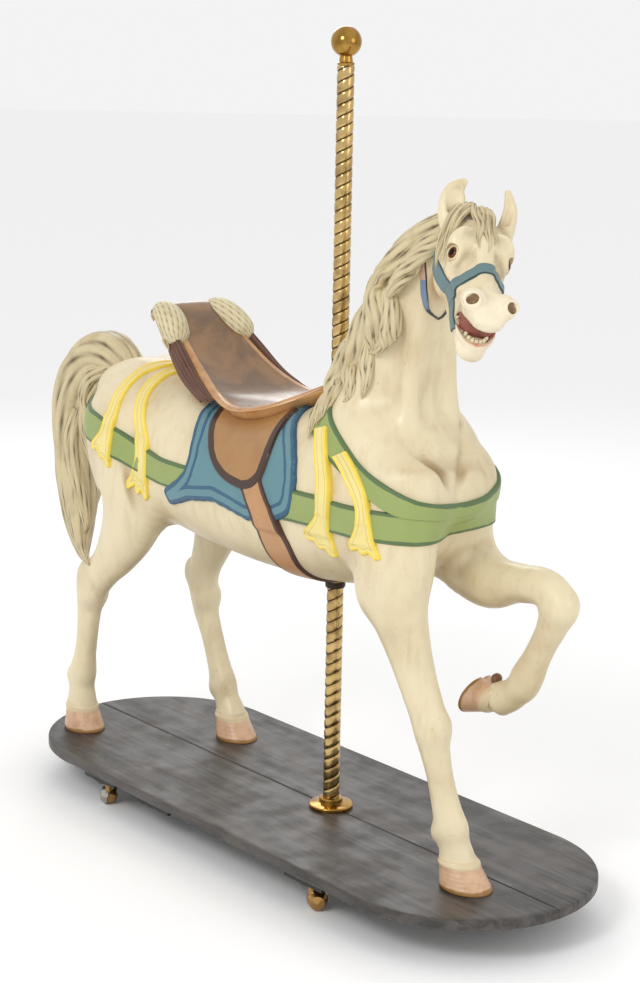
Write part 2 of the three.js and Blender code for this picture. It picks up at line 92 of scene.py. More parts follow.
# ---------------------------------------------------------------- curves and frames
def unit(v):
    v = np.asarray(v, float)
    return v / np.maximum(np.linalg.norm(v, axis=-1, keepdims=True), 1e-12)


def smooth_rows(rows, t):
    """Catmull-Rom through rows of numbers, at t from 0 to 1."""
    rows = np.asarray(rows, float)
    n = len(rows) - 1
    s = np.clip(np.asarray(t, float) * n, 0, n - 1e-9)
    i = s.astype(int)
    f = (s - i)[..., None]
    a, b, c, d = (rows[np.clip(i + k, 0, n)] for k in (-1, 0, 1, 2))
    return 0.5 * (2 * b + (c - a) * f + (2 * a - 5 * b + 4 * c - d) * f ** 2 + (3 * b - a - 3 * c + d) * f ** 3)


# ---------------------------------------------------------------- distance fields
class Sweep:
    """Rows of x, y, z, half width across, half depth.  side is the direction that counts
    as across, square makes the section fuller than an ellipse, blend is how far it melts."""

    def __init__(self, rows, side=(0, 1, 0), blend=30.0, square=2.0, dome=0.7, per=6):
        n = (len(rows) - 1) * per
        pts = smooth_rows(rows, np.linspace(0, 1, n + 1))
        self.c, self.r = pts[:, :3], np.maximum(pts[:, 3:5], 0.6)
        run = unit(np.gradient(self.c, axis=0))
        across = np.asarray(side, float) - run * (run @ np.asarray(side, float))[:, None]
        self.run, self.across = run, unit(across)
        self.deep = np.cross(run, self.across)
        self.cap = dome * self.r.min(1)
        self.blend, self.square = blend, square
        reach = self.r.max() + self.cap.max()
        self.lo, self.hi = self.c.min(0) - reach, self.c.max(0) + reach
        self.cc = (self.c ** 2).sum(1)
        for key in ("c", "r", "run", "across", "deep", "cap", "cc"):
            setattr(self, key, getattr(self, key).astype(np.float32))

    def __call__(self, p):
        i = np.argmin(self.cc - 2 * (p @ self.c.T), axis=1)
        d = p - self.c[i]
        ahead = (d * self.run[i]).sum(1)
        j = np.clip(i + np.where(ahead > 0, 1, -1), 0, len(self.c) - 1)
        seg = self.c[j] - self.c[i]
        f = np.clip((d * seg).sum(1) / np.maximum((seg ** 2).sum(1), 1e-9), 0, 1)[:, None]
        q = d - f * seg
        across = self.across[i] * (1 - f) + self.across[j] * f
        deep = self.deep[i] * (1 - f) + self.deep[j] * f
        r = self.r[i] * (1 - f) + self.r[j] * f
        cap = self.cap[i]
        u, v = (q * across).sum(1), (q * deep).sum(1)
        w = np.where(i == j, ahead, 0.0)
        return section_distance(np.stack([u, v, w], 1), np.stack([r[:, 0], r[:, 1], cap], 1), self.square)


def section_distance(x, r, e):
    """About how far x is outside the super-ellipsoid of half sizes r."""
    x = np.abs(x) / r
    k = np.maximum((x ** e).sum(1) ** (1 / e), 1e-4)
    slope = k ** (1 - e) * np.sqrt(((x ** (e - 1) / r) ** 2).sum(1))
    return (k - 1) / np.maximum(slope, 1 / (3 * r.max(1)))


class Ball:
    """An ellipsoid; axes are its three directions as rows."""

    def __init__(self, centre, radii, axes=None, blend=20.0, square=2.0):
        self.c, self.rad = np.array(centre, float), np.array(radii, float)
        self.axes = np.eye(3) if axes is None else unit(axes)
        self.blend, self.square = blend, square
        reach = self.rad.max()
        self.lo, self.hi = self.c - reach, self.c + reach

    def __call__(self, p):
        x = (p - self.c) @ self.axes.T
        return section_distance(x, np.broadcast_to(self.rad, x.shape), self.square)


def melt(a, b, k):
    """Union of two distances with a soft fillet of size k."""
    h = np.clip(0.5 + 0.5 * (b - a) / k, 0, 1)
    return b * (1 - h) + a * h - k * h * (1 - h)


class Field:
    """Adds shapes one after another, then takes the cuts away.  Points are handled in
    cells, so that each cell looks only at the shapes that reach it."""

    CELL = 170.0                              # size of a cell
    REACH = 64.0                              # a shape's distance counts up to here
    CUT_FAR = 20.0                            # and a cut's up to here
    KEY = 4096                                # more than the cells along any axis
    WORKERS = 4

    def __init__(self, adds, cuts=()):
        self.adds, self.cuts = list(adds), list(cuts)

    def __call__(self, p):
        p = np.asarray(p, float)
        out = np.full(len(p), self.REACH)
        key = np.floor(p / self.CELL).astype(np.int64)
        key = (key[:, 0] * self.KEY + key[:, 1]) * self.KEY + key[:, 2]
        order = np.argsort(key, kind="stable")
        edges = np.flatnonzero(np.diff(key[order])) + 1
        parts = np.split(order, edges)
        if len(parts) < 2 * self.WORKERS:
            results = map(self.cell, [p[part] for part in parts])
        else:
            with ThreadPoolExecutor(self.WORKERS) as pool:
                results = list(pool.map(self.cell, [p[part] for part in parts]))
        for part, d in zip(parts, results):
            out[part] = d
        return out

    def cell(self, q):
        lo, hi = q.min(0), q.max(0)
        q = q.astype(np.float32)
        d = None
        for s in self.adds:
            if np.any(lo > s.hi + self.REACH) or np.any(hi < s.lo - self.REACH):
                continue
            e = s(q)
            d = e if d is None else melt(d, e, s.blend)
        if d is None:
            return self.REACH
        for s in self.cuts:
            if np.any(lo > s.hi + self.CUT_FAR) or np.any(hi < s.lo - self.CUT_FAR):
                continue
            d = -melt(-d, s(q), s.blend)
        return d


def slope(field, p, d=None, step=0.8):
    """Gradient by forward differences."""
    d = field(p) if d is None else d
    return np.stack([field(p + step * e) - d for e in np.eye(3)], 1) / step


def skin_mesh(field, lo, hi, h):
    """Vertices and quads of the field's zero level, by surface nets on a grid of step h."""
    lo = np.array(lo, float)
    blocks = np.ceil((np.array(hi, float) - lo) / (4 * h)).astype(int)
    n = blocks * 4 + 1
    grid = np.stack(np.meshgrid(*[np.arange(b + 1) for b in blocks], indexing="ij"), -1)
    rough = field(lo + grid.reshape(-1, 3) * 4 * h).reshape(blocks + 1)
    corners = [(i, j, k) for i in (0, 1) for j in (0, 1) for k in (0, 1)]
    near = np.full(blocks, np.inf)
    for i, j, k in corners:
        near = np.minimum(near, np.abs(rough[i:blocks[0] + i, j:blocks[1] + j, k:blocks[2] + k]))
    need = np.zeros(n, bool)
    for i, j, k in np.argwhere(near < 4.6 * h):
        need[4 * i:4 * i + 5, 4 * j:4 * j + 5, 4 * k:4 * k + 5] = True
    val = rough[np.ix_(*[np.arange(m) // 4 for m in n])]
    at = np.argwhere(need)
    val[need] = field(lo + at * h)

    inside = val < 0
    count = np.zeros(n - 1, np.int8)
    for i, j, k in corners:
        count += inside[i:n[0] - 1 + i, j:n[1] - 1 + j, k:n[2] - 1 + k]
    cell = np.argwhere((count > 0) & (count < 8))
    number = np.full(n - 1, -1, np.int64)
    number[tuple(cell.T)] = np.arange(len(cell))
    v8 = np.stack([val[tuple((cell + c).T)] for c in corners], 1)
    total, hits = np.zeros((len(cell), 3)), np.zeros(len(cell))
    for a in range(8):
        for b in range(a + 1, 8):
            ca, cb = np.array(corners[a]), np.array(corners[b])
            if np.abs(ca - cb).sum() != 1:
                continue
            cross = (v8[:, a] < 0) != (v8[:, b] < 0)
            t = v8[cross, a] / (v8[cross, a] - v8[cross, b])
            total[cross] += ca + t[:, None] * (cb - ca)
            hits[cross] += 1
    verts = lo + (cell + total / hits[:, None]) * h

    quads = []
    for axis in range(3):
        u, w = (axis + 1) % 3, (axis + 2) % 3
        one = np.zeros(3, int)
        one[axis] = 1
        size = n - one
        first = inside[:size[0], :size[1], :size[2]]
        second = inside[one[0]:, one[1]:, one[2]:]
        e = np.argwhere(first != second)
        e = e[(e[:, u] > 0) & (e[:, w] > 0) & (e[:, u] < n[u] - 1) & (e[:, w] < n[w] - 1)]
        out = first[tuple(e.T)]
        du, dw = np.zeros(3, int), np.zeros(3, int)
        du[u], dw[w] = 1, 1
        q = np.stack([number[tuple((e - o).T)] for o in (du + dw, dw, 0 * du, du)], 1)
        quads.append(np.where(out[:, None], q, q[:, ::-1]))
    quads = np.concatenate(quads)

    for _ in range(2):                       # settle onto the true surface
        d = field(verts)
        g = slope(field, verts, d)
        move = d / np.maximum((g ** 2).sum(1), 0.25)
        verts = verts - np.clip(move, -0.6 * h, 0.6 * h)[:, None] * g
    return verts, quads, unit(g)


def hollows(field, verts, normals, reach):
    """From 0 on a flat or bulging skin to 1 deep in a crease."""
    d = field(verts + normals * reach)
    return np.clip((reach - d) / reach, 0, 1)


def relax(values, quads, times=3):
    """Averages numbers on vertices with their neighbours along the edges."""
    a, b = np.concatenate([quads, quads]).ravel(), np.concatenate([np.roll(quads, 1, 1),
                                                                   np.roll(quads, -1, 1)]).ravel()
    share = np.bincount(a, minlength=len(values)) + 1e-9
    for _ in range(times):
        values = 0.4 * values + 0.6 * np.bincount(a, values[b], minlength=len(values)) / share
    return values


# ---------------------------------------------------------------- meshes
def to_metres(v):
    """From the horse's millimetres to the shared frame."""
    return np.asarray(v, float) * MM + ORIGIN


def mesh_object(name, verts, faces, attributes=(), flat_metres=False, sharp=None):
    """A smooth mesh from vertices in the horse's millimetres."""
    me = bpy.data.meshes.new(name)
    v = np.asarray(verts, float) if flat_metres else to_metres(verts)
    faces = [np.asarray(f) for f in (faces if isinstance(faces, (list, tuple)) else [faces])]
    me.vertices.add(len(v))
    me.vertices.foreach_set("co", v.astype(np.float32).ravel())
    sizes = np.concatenate([np.full(len(f), f.shape[1], np.int32) for f in faces])
    flat = np.concatenate([f.astype(np.int32).ravel() for f in faces])
    me.loops.add(len(flat))
    me.loops.foreach_set("vertex_index", flat)
    me.polygons.add(len(sizes))
    me.polygons.foreach_set("loop_start", np.concatenate([[0], np.cumsum(sizes)[:-1]]).astype(np.int32))
    me.polygons.foreach_set("loop_total", sizes)
    me.update(calc_edges=True)
    me.validate()
    me.polygons.foreach_set("use_smooth", np.ones(len(me.polygons), bool))
    for key, values in dict(attributes).items():
        layer = me.attributes.new(key, "FLOAT", "POINT")
        layer.data.foreach_set("value", np.asarray(values, np.float32))
    if sharp is not None:
        me.set_sharp_from_angle(angle=math.radians(sharp))
    ob = bpy.data.objects.new(name, me)
    bpy.context.scene.collection.objects.link(ob)
    return ob


# ---------------------------------------------------------------- the horse: body and legs
BARREL = [  # x, top, bottom, half width
    [-800, 955, 855, 52], [-778, 985, 795, 88], [-735, 1010, 725, 122], [-680, 1026, 685, 152],
    [-600, 1040, 655, 180], [-500, 1040, 636, 198], [-370, 1014, 618, 206], [-220, 984, 602, 210],
    [-60, 978, 592, 212], [100, 1010, 592, 210], [240, 1050, 606, 200], [360, 1060, 640, 186],
    [450, 1030, 690, 162], [506, 985, 750, 128], [542, 930, 810, 82],
]
TRUNK = [[x, 0, (top + low) / 2, half, (top - low) / 2] for x, top, low, half in BARREL]
NECK = [
    [288, 0, 880, 148, 206], [308, 0, 1000, 128, 174], [326, 0, 1090, 102, 138], [353, -2, 1180, 88, 114],
    [384, -6, 1265, 80, 102], [418, -10, 1338, 74, 92], [468, -14, 1398, 68, 86], [540, -18, 1440, 58, 72],
]
HIND_NEAR = [
    [-612, -96, 890, 96, 142], [-570, -118, 800, 94, 146], [-526, -138, 710, 82, 130], [-540, -153, 620, 62, 98],
    [-582, -161, 545, 48, 72], [-640, -161, 484, 37, 54], [-690, -160, 440, 35, 54], [-716, -160, 404, 35, 50],
    [-726, -159, 356, 31, 40], [-736, -158, 290, 28, 33], [-750, -158, 215, 29, 33], [-762, -158, 163, 35, 40],
    [-768, -158, 124, 33, 37], [-768, -158, 92, 36, 41], [-768, -158, 66, 40, 46],
]
HIND_FAR = [
    [-600, 96, 890, 96, 142], [-556, 114, 800, 92, 150], [-512, 128, 700, 78, 128], [-526, 134, 610, 58, 92],
    [-562, 134, 524, 45, 64], [-590, 133, 462, 37, 52], [-602, 131, 415, 35, 52], [-596, 131, 372, 34, 46],
    [-584, 130, 326, 31, 39], [-558, 130, 268, 28, 33], [-527, 130, 195, 29, 33], [-502, 129, 140, 35, 38],
    [-486, 129, 104, 32, 35], [-472, 129, 78, 35, 40], [-462, 129, 56, 39, 44],
]
FORE_NEAR = [
    [440, -102, 890, 84, 130], [464, -118, 780, 84, 122], [486, -130, 690, 76, 104], [508, -134, 610, 60, 74],
    [534, -126, 530, 49, 55], [560, -118, 455, 42, 47], [583, -110, 392, 40, 43], [596, -106, 348, 39, 41],
    [606, -103, 306, 34, 36], [622, -99, 245, 29, 32], [639, -92, 175, 31, 35], [652, -87, 128, 37, 42],
    [660, -84, 96, 34, 38], [666, -82, 72, 37, 42], [672, -81, 48, 42, 47],
]
FORE_FAR = [
    [400, 88, 860, 72, 112], [420, 104, 756, 74, 104], [470, 119, 680, 68, 82], [548, 125, 655, 57, 58],
    [632, 128, 664, 47, 45], [694, 128, 670, 42, 44], [732, 128, 656, 41, 46], [744, 127, 618, 38, 42],
    [733, 125, 580, 33, 36], [715, 124, 545, 29, 33], [693, 122, 500, 30, 34], [670, 120, 454, 35, 40],
    [650, 118, 424, 33, 36], [624, 117, 398, 34, 37], [592, 116, 382, 37, 41],
]


def body_shapes():
    add = [
        Sweep(TRUNK, square=2.25, dome=0.35),
        Sweep(NECK, side=(0.15, 1, 0), blend=70),
    ]
    # croup, haunch, stifle, shoulder, chest
    for s in (FAR, NEAR):
        add += [
            Ball((-628, 66 * s, 940), (150, 86, 92), blend=50),
            Ball((-576, 112 * s, 830), (140, 84, 150), blend=60),
            Ball((345, 104 * s, 860), (130, 92, 170), blend=70),
            Ball((452, 62 * s, 872), (92, 74, 96), axes=[(1, 0.25 * s, 0), (-0.25 * s, 1, 0), AXIS_Z], blend=34),
            Sweep([[250, 60 * s, 1040, 40, 60], [330, 120 * s, 930, 44, 66], [420, 128 * s, 800, 46, 64]],
                  side=(0, 1, 0.3), blend=60),
        ]
    add += [
        Sweep(HIND_NEAR, blend=55), Sweep(HIND_FAR, blend=55),
        Sweep(FORE_NEAR, blend=50), Sweep(FORE_FAR, blend=46),
    ]
    # bony points and heels: hocks, knees, fetlocks
    add += [Ball(at, size, blend=blend) for at, size, blend in (
        ((-738, -160, 446), (22, 21, 34), 26), ((-652, 132, 428), (22, 21, 36), 26),
        ((-702, -158, 392), (24, 37, 30), 26), ((-576, 130, 368), (24, 36, 30), 26),
        ((612, -106, 356), (26, 35, 34), 26), ((768, 128, 638), (27, 36, 34), 30),
        ((-796, -158, 146), (22, 24, 24), 24), ((-520, 129, 124), (22, 24, 24), 24),
        ((624, -88, 112), (22, 25, 24), 24), ((664, 119, 424), (20, 25, 24), 24),
        ((540, 118, 638), (44, 40, 34), 50), ((446, -140, 640), (44, 40, 46), 50),
    )]
    # long muscles of the neck
    for s in (FAR, NEAR):
        add += [
            Sweep([[512, 34 * s - 16, 1372, 16, 16], [472, 42 * s - 10, 1290, 19, 17],
                   [450, 48 * s - 4, 1190, 22, 18], [440, 58 * s, 1080, 24, 20],
                   [446, 72 * s, 990, 26, 22]], blend=26),
            Ball((452, 94 * s, 884), (92, 76, 88), blend=20),
            Sweep([[400, 54 * s - 10, 1300, 24, 30], [360, 70 * s - 4, 1190, 28, 34], [322, 94 * s, 1070, 34, 36],
                   [276, 116 * s, 960, 30, 34]], blend=44),
        ]
    return add


def body_cuts():
    cuts = []
    for s in (FAR, NEAR):
        cuts += [
            # flank hollow, the fold in front of the stifle, the groove between shoulder and ribs
            Ball((-420, 226 * s, 850), (80, 26, 90), blend=30),
            Sweep([[-408, 196 * s, 640, 10, 22], [-440, 208 * s, 730, 10, 26], [-452, 214 * s, 800, 8, 20]],
                  blend=22),
            Sweep([[262, 214 * s, 960, 7, 16], [282, 218 * s, 860, 8, 20], [322, 214 * s, 760, 8, 20],
                   [372, 200 * s, 690, 7, 16]], blend=20),
        ]
    cuts += [
        # the folds that part the chest into two lobes
        Sweep([[478, -112, 1004, 5, 6], [512, -94, 972, 7, 8], [548, -70, 936, 8, 9], [572, -44, 902, 8, 9],
               [576, -18, 862, 7, 8]], blend=16),
        Sweep([[462, 84, 1020, 5, 6], [504, 52, 976, 8, 9], [537, 18, 938, 9, 10], [562, -6, 904, 9, 10],
               [576, -18, 862, 7, 8]], blend=16),
        Sweep([[590, -4, 820, 6, 9], [580, 0, 780, 7, 9], [556, 0, 730, 6, 8]], blend=20),
    ]
    # grooves along the tendons of two lower legs
    cuts += [Sweep(rows, side=AXIS_X, blend=10) for rows in (
        [[-704, -127, 340, 5, 6], [-716, -128, 270, 5, 6], [-730, -128, 210, 5, 6]],
        [[-704, -190, 340, 5, 6], [-718, -189, 270, 5, 6], [-732, -190, 210, 5, 6]],
        [[590, -139, 300, 5, 6], [604, -131, 240, 5, 6], [618, -126, 190, 5, 6]],
    )]
    return cuts


# ---------------------------------------------------------------- the horse: head
HEAD_AT, YAW, PITCH, ROLL = np.array([607.0, -26.0, 1487.0]), -0.66, 0.68, -0.30


def head_axes():
    forward = np.array([math.cos(YAW), math.sin(YAW), 0])
    left = np.array([-math.sin(YAW), math.cos(YAW), 0])
    up = np.array([0, 0, 1.0])
    down = forward * math.cos(PITCH) - up * math.sin(PITCH)
    face = forward * math.sin(PITCH) + up * math.cos(PITCH)
    side = left * math.cos(ROLL) + face * math.sin(ROLL)
    out = -left * math.sin(ROLL) + face * math.cos(ROLL)
    return np.stack([side, down, out])


HEAD_AXES = head_axes()                       # rows: to its left, down the face, out of the face


def in_head(p):
    """From the head's own (side, down the face, out) to the horse's frame."""
    return np.asarray(p, float) @ HEAD_AXES + HEAD_AT


def to_head(p):
    """From the horse's frame to the head's own."""
    return (np.asarray(p, float) - HEAD_AT) @ HEAD_AXES.T


class InHead:
    """A field given in the head's own frame."""

    def __init__(self, field, reach=330.0, centre=(0, 120, -30), blend=26.0):
        self.field, self.blend = field, blend
        c = in_head(centre)
        self.lo, self.hi = c - reach, c + reach

    def __call__(self, p):
        return self.field(to_head(p))


SKULL = [  # down the face, brow line, under line, half width
    [-40, -16, -70, 34], [-18, 4, -96, 50], [10, 20, -116, 60], [44, 30, -128, 65], [78, 31, -134, 65],
    [112, 26, -132, 59], [150, 21, -112, 50], [190, 19, -82, 44], [226, 23, -58, 43], [256, 30, -38, 45],
    [280, 33, -20, 42], [298, 26, -8, 36], [310, 16, -1, 28],
]
JAW = [
    [120, -92, -136, 38], [160, -82, -134, 37], [200, -72, -124, 36], [240, -62, -113, 35], [275, -56, -104, 35],
    [300, -54, -100, 32], [313, -58, -94, 24],
]


def head_rows(rows):
    return [[0, d, (top + low) / 2, half, (top - low) / 2] for d, top, low, half in rows]


EYE = np.array([51.0, 109.0, -6.0])
EYE_R = 20.0
EYE_LOOK = unit([0.88, 0.12, 0.40])
EAR_TIP = {FAR: (58, -76, 42), NEAR: (-42, -74, 44)}
EAR_TURN = {FAR: 1.0, NEAR: 0.0}                # the far ear is turned, so it looks narrower


def head_shapes():
    add = [
        Sweep(head_rows(SKULL), side=AXIS_X, square=2.3, dome=0.5),
        Sweep(head_rows(JAW), side=AXIS_X, square=2.3, dome=0.6, blend=12),
        Sweep([[0, 30, 29, 20, 9], [0, 110, 25, 18, 9], [0, 180, 20, 15, 8], [0, 236, 22, 14, 8]], side=AXIS_X,
              blend=20),
        Ball((0, 300, 8), (36, 18, 18), blend=12),                 # upper lip
        Sweep([[30, 284, -6, 7, 7], [18, 304, -2, 8, 8], [0, 312, 0, 9, 9], [-18, 304, -2, 8, 8],
               [-30, 284, -6, 7, 7]], side=AXIS_Z, blend=8),
        Ball((0, 304, -88), (26, 19, 16), blend=14),              # chin
        # cheek web
        Sweep([[0, 150, -70, 38, 40], [0, 205, -66, 41, 34], [0, 236, -58, 42, 24]], side=AXIS_X, dome=0.2, blend=16),
    ]
    for s in (FAR, NEAR):
        tip, turn = EAR_TIP[s], EAR_TURN[s]
        add += [
            Ball((44 * s, 86, -80), (24, 54, 50), blend=20),                      # jowl
            # brow
            Sweep([[28 * s, 58, 21, 10, 6], [47 * s, 64, 24, 14, 8], [62 * s, 78, 15, 13, 9], [69 * s, 97, -4, 9, 7]],
                  side=AXIS_Z, blend=13),
            # cheek bone
            Sweep([[56 * s, 124, -36, 7, 7], [50 * s, 160, -30, 7, 7], [42 * s, 196, -20, 5, 5]], side=AXIS_Z,
                  blend=22),
            Ball((35 * s, 263, 23), (27, 31, 22), blend=14),                      # nostril
            nostril_rim(s),
            Ball((52 * s, 108, -7), (16, 27, 25), blend=16),
            Ball((45 * s, 82, 8), (17, 24, 14), blend=22),                       # round the eye
            # lower lip
            Sweep([[42 * s, 256, -42, 5, 5], [38 * s, 282, -55, 6, 5], [24 * s, 306, -58, 6, 5], [0, 313, -59, 6, 5]],
                  side=AXIS_Z, blend=8),
            Sweep([[60 * s, 18, -10, 24, 18], [64 * s + 3 * turn, -6, 4, 28 - 8 * turn, 16],
                   [64 * s + 6 * turn, -34, 20, 28 - 11 * turn, 13], [59 * s + 6 * turn, -56, 33, 20 - 8 * turn, 9],
                   [tip[0], tip[1], tip[2], 7, 4]],
                   side=(1, -0.25 * s, 0.1), blend=12, dome=0.9),
        ]
    return add


NOSTRIL = {s: Ball((45 * s, 279, 42), (12, 8, 15), blend=6) for s in (FAR, NEAR)}


def nostril_rim(s):
    """A flared lip that curls three quarters of the way round the nostril."""
    out = unit([0.42 * s, 0.66, 0.62])
    across = unit(np.cross(out, (0, 0, 1))) * s
    up = np.cross(across, out) * s
    turn = np.radians(np.linspace(-70, 215, 9))
    return Sweep([[*(np.array([44 * s, 276, 37]) + 16 * math.cos(a) * across + 12.5 * math.sin(a) * up), 5,
                   5] for a in turn],
                 side=out, blend=6)


MOUTH = Sweep([[0, 200, -54, 26, 5], [0, 248, -50, 40, 7], [0, 272, -41, 46, 14], [0, 300, -32, 46, 20],
               [0, 350, -27, 46, 25]],
              side=AXIS_X, square=2.6, dome=0.8, blend=5)


def head_cuts():
    cuts = [MOUTH]
    for s in (FAR, NEAR):
        look, turn = EYE_LOOK * (s, 1, 1), EAR_TURN[s]
        cuts += [
            Sweep([[*(EYE * (s, 1, 1) - 2 * look), 17.5, 17.5], [*(EYE * (s, 1, 1) + 24 * look), 17.5, 17.5]],
                  side=(0, 1, 0), blend=2),
            NOSTRIL[s],
            Sweep([[58 * s, 278, 22, 3, 3], [59 * s, 267, 29, 3, 4], [51 * s, 255, 41, 3, 4],
                   [37 * s, 250, 45, 3, 3]],
                  side=(0.3 * s, 0.8, -0.5), blend=4),
            Sweep([[63 * s - 4 * turn, 0, 20, 15 - 5 * turn, 12], [65 * s, -28, 33, 20 - 10 * turn, 10],
                   [58 * s, -52, 44, 12 - 6 * turn, 6]],
                  side=(1, -0.25 * s, 0.1), blend=5),
        ]
    return cuts


head_field = Field(head_shapes(), head_cuts())
body_field = Field(body_shapes(), body_cuts())
whole_field = Field(body_shapes() + [InHead(head_field)], body_cuts())
NAPE_AT, NAPE_WAY = np.array([528.0, -16, 1420]), unit([0.97, -0.15, 0.19])
CHIN_CLEAR = 1160                             # the head's mesh stays above this height
TUCK = 12                                     # how far the body reaches in under the head's skin


def beyond_nape(p):
    """How far a point lies on the head's side of the cut at the nape."""
    return np.minimum((p - NAPE_AT) @ NAPE_WAY, p[:, 2] - CHIN_CLEAR)


def body_only(p):
    """The body without the head; it sinks just under the head's skin past the nape."""
    d = whole_field(p)
    past = beyond_nape(p)
    return np.maximum(d + np.clip(past, 0, TUCK) * 0.12, past - TUCK)


def head_only(p):
    """The head and the nape, without the rest of the body."""
    return np.maximum(whole_field(p), -beyond_nape(p))


BODY_STEP = 6.6              # size of the mesh's faces
HEAD_STEP = 2.2
BODY_BOX = (-860, -245, 30), (845, 245, 1540)
HEAD_BOX = (500, -270, 1190), (860, 160, 1640)


def carved(name, field, box, step, reach):
    """Mesh of a field with the numbers its paint reads; crease, fine, broad and vast tell
    how deep a point lies in hollows of that size."""
    v, f, n = skin_mesh(field, *box, step)
    # the paint darkens these hollows: brown wash with painted shade in the creases, painted shade in the broad and
    # vast ones
    sizes = {"crease": reach, "fine": reach / 3, "broad": reach * 3.5, "vast": 60.0}
    numbers = {key: relax(hollows(field, v, n, size), f, 5) for key, size in sizes.items()}
    # how much the skin faces down, where the paint lays painted shade
    numbers["under"] = relax(np.clip(-n[:, 2], 0, 1), f, 5)
    if name == "head":
        q = to_head(v)
        near = q.astype(np.float32)
        numbers["mouth"] = np.clip(1 - (MOUTH(near) - 0.6) / 3.0, 0, 1) * (q[:, 1] < 322)
        # inside the nostrils, where the paint lays painted shade
        numbers["hole"] = np.max([np.clip(1.5 - NOSTRIL[k](near) / 2, 0, 1) for k in (FAR, NEAR)], 0)
        # further back in the mouth, where the red is darkened as painted shade
        numbers["deep"] = np.clip((296 - q[:, 1]) / 60, 0, 1)
        numbers["blush"] = np.clip((q[:, 1] - 225) / 45, 0, 1)
    return mesh_object(name, v, [f], numbers)


body = carved("body", body_only, BODY_BOX, BODY_STEP, reach=14.0)
head = carved("head", head_only, HEAD_BOX, HEAD_STEP, reach=9.0)


# ---------------------------------------------------------------- swept meshes
def frames(centres, side):
    """Directions along, across and through a path."""
    run = unit(np.gradient(centres, axis=0))
    across = unit(side - run * (run @ side)[:, None])
    return run, across, np.cross(run, across)


def closed_tube(rings, first, last):
    """Vertices, quads and end triangles of a tube over rings of points."""
    m, n = rings.shape[:2]
    i, j = np.meshgrid(np.arange(m - 1), np.arange(n), indexing="ij")
    a, b = i * n + j, i * n + (j + 1) % n
    quads = np.stack([a, b, b + n, a + n], -1).reshape(-1, 4)
    k = np.arange(n)
    tip0, tip1 = np.full(n, m * n), np.full(n, m * n + 1)
    tris = np.concatenate([np.stack([tip0, (k + 1) % n, k], 1),
                           np.stack([tip1, (m - 1) * n + k, (m - 1) * n + (k + 1) % n], 1)])
    return np.concatenate([rings.reshape(-1, 3), [first, last]]), quads, tris


def outward(v, quads, tris=None):
    """The same faces, turned over if they look into the shape."""
    a, b, c, d = ((v - v.mean(0))[quads[:, k]] for k in range(4))
    volume = (a * np.cross(b, c)).sum() + (a * np.cross(c, d)).sum()
    turn = slice(None, None, -1 if volume < 0 else 1)
    return quads[:, turn] if tris is None else (quads[:, turn], tris[:, turn])


class Mesh:
    """Gathers vertices, faces and numbers for one object."""

    def __init__(self):
        self.v, self.f4, self.f3, self.att, self.n = [], [], [], {}, 0

    def add(self, verts, quads, tris=None, **att):
        self.v.append(verts)
        self.f4.append(np.asarray(quads) + self.n)
        if tris is not None:
            self.f3.append(np.asarray(tris) + self.n)
        for key in set(self.att) | set(att):
            have = self.att.setdefault(key, [np.zeros(self.n)] if self.n else [])
            have.append(np.broadcast_to(np.asarray(att.get(key, 0.0), float), (len(verts),)))
        self.n += len(verts)

    def to_horse(self):
        """Takes what was made in the head's frame over to the horse's."""
        self.v = [in_head(v) for v in self.v]

    def make(self, name, **kw):
        faces = [np.concatenate(self.f4)] + ([np.concatenate(self.f3)] if self.f3 else [])
        return mesh_object(name, np.concatenate(self.v), faces,
                           {k: np.concatenate(x) for k, x in self.att.items()}, **kw)


def strand(mesh, rows, side=(0, 1, 0), sides=18, steps=48, ridges=0, depth=0.0, twist=0.0, phase=0.0,
           tip=0.55, root=0.25):
    """A tapering lock: an ellipse swept through rows of x, y, z, half width, half thickness,
    scored along its length by ridges.  crease is deep in the scores."""
    t = np.linspace(0, 1, steps + 1)
    pts = smooth_rows(rows, t)
    c, r = pts[:, :3], np.maximum(pts[:, 3:5], 0.3)
    run, across, deep = frames(c, np.asarray(side, float))
    shape = np.minimum(1, ((1 - t) / 0.25 + 0.02) ** tip) * np.minimum(1, (t / 0.08 + 0.05) ** root)
    w = np.linspace(0, 2 * np.pi, sides, endpoint=False)[None] + phase
    turn = w + twist * t[:, None]
    groove = np.abs(np.sin(turn * ridges / 2)) ** 0.6 if ridges else np.ones_like(turn)
    k = shape[:, None] * (1 - depth * (1 - groove))
    ring = (c[:, None] + across[:, None] * (r[:, :1] * k * np.cos(w))[..., None]
            + deep[:, None] * (r[:, 1:] * k * np.sin(w))[..., None])
    v, f4, f3 = closed_tube(ring, c[0] - run[0] * 0.5, c[-1] + run[-1] * 1.5)
    mesh.add(v, f4, f3, crease=np.append((1 - groove).ravel() * 0.9, [0.4, 0.1]))


def bundle(mesh, rows, side=(0, 1, 0), count=5, spread=0.55, twist=1.2, phase=0.0, ends=0.16, seed=1, ridges=5,
           depth=0.16, steps=40, sides=14):
    """A thick lock made of twisting strands laid round a common path."""
    rng = np.random.default_rng(seed)
    t = np.linspace(0, 1, 25)
    pts = smooth_rows(rows, t)
    _, across, deep = frames(pts[:, :3], np.asarray(side, float))
    for k in range(count):
        stop = 1 - ends * (k % 3) / 2 * rng.uniform(0.5, 1)
        angle = 2 * np.pi * k / count + phase + twist * t + 0.35 * np.sin(5 * t + rng.uniform(0, 6))
        pull = spread * (1 - 0.55 * t ** 3)
        off = (across * (pts[:, 3] * pull * np.cos(angle))[:, None]
               + deep * (pts[:, 4] * pull * np.sin(angle))[:, None])
        size = rng.uniform(0.92, 1.1)
        own = np.concatenate([pts[:, :3] + off, pts[:, 3:4] * 0.56 * size, pts[:, 4:5] * 0.6 * size], 1)
        own = smooth_rows(own, np.linspace(0, stop, 13))
        strand(mesh, own, side, sides=sides, steps=steps, ridges=ridges, depth=depth, twist=twist,
               phase=rng.uniform(0, 6))


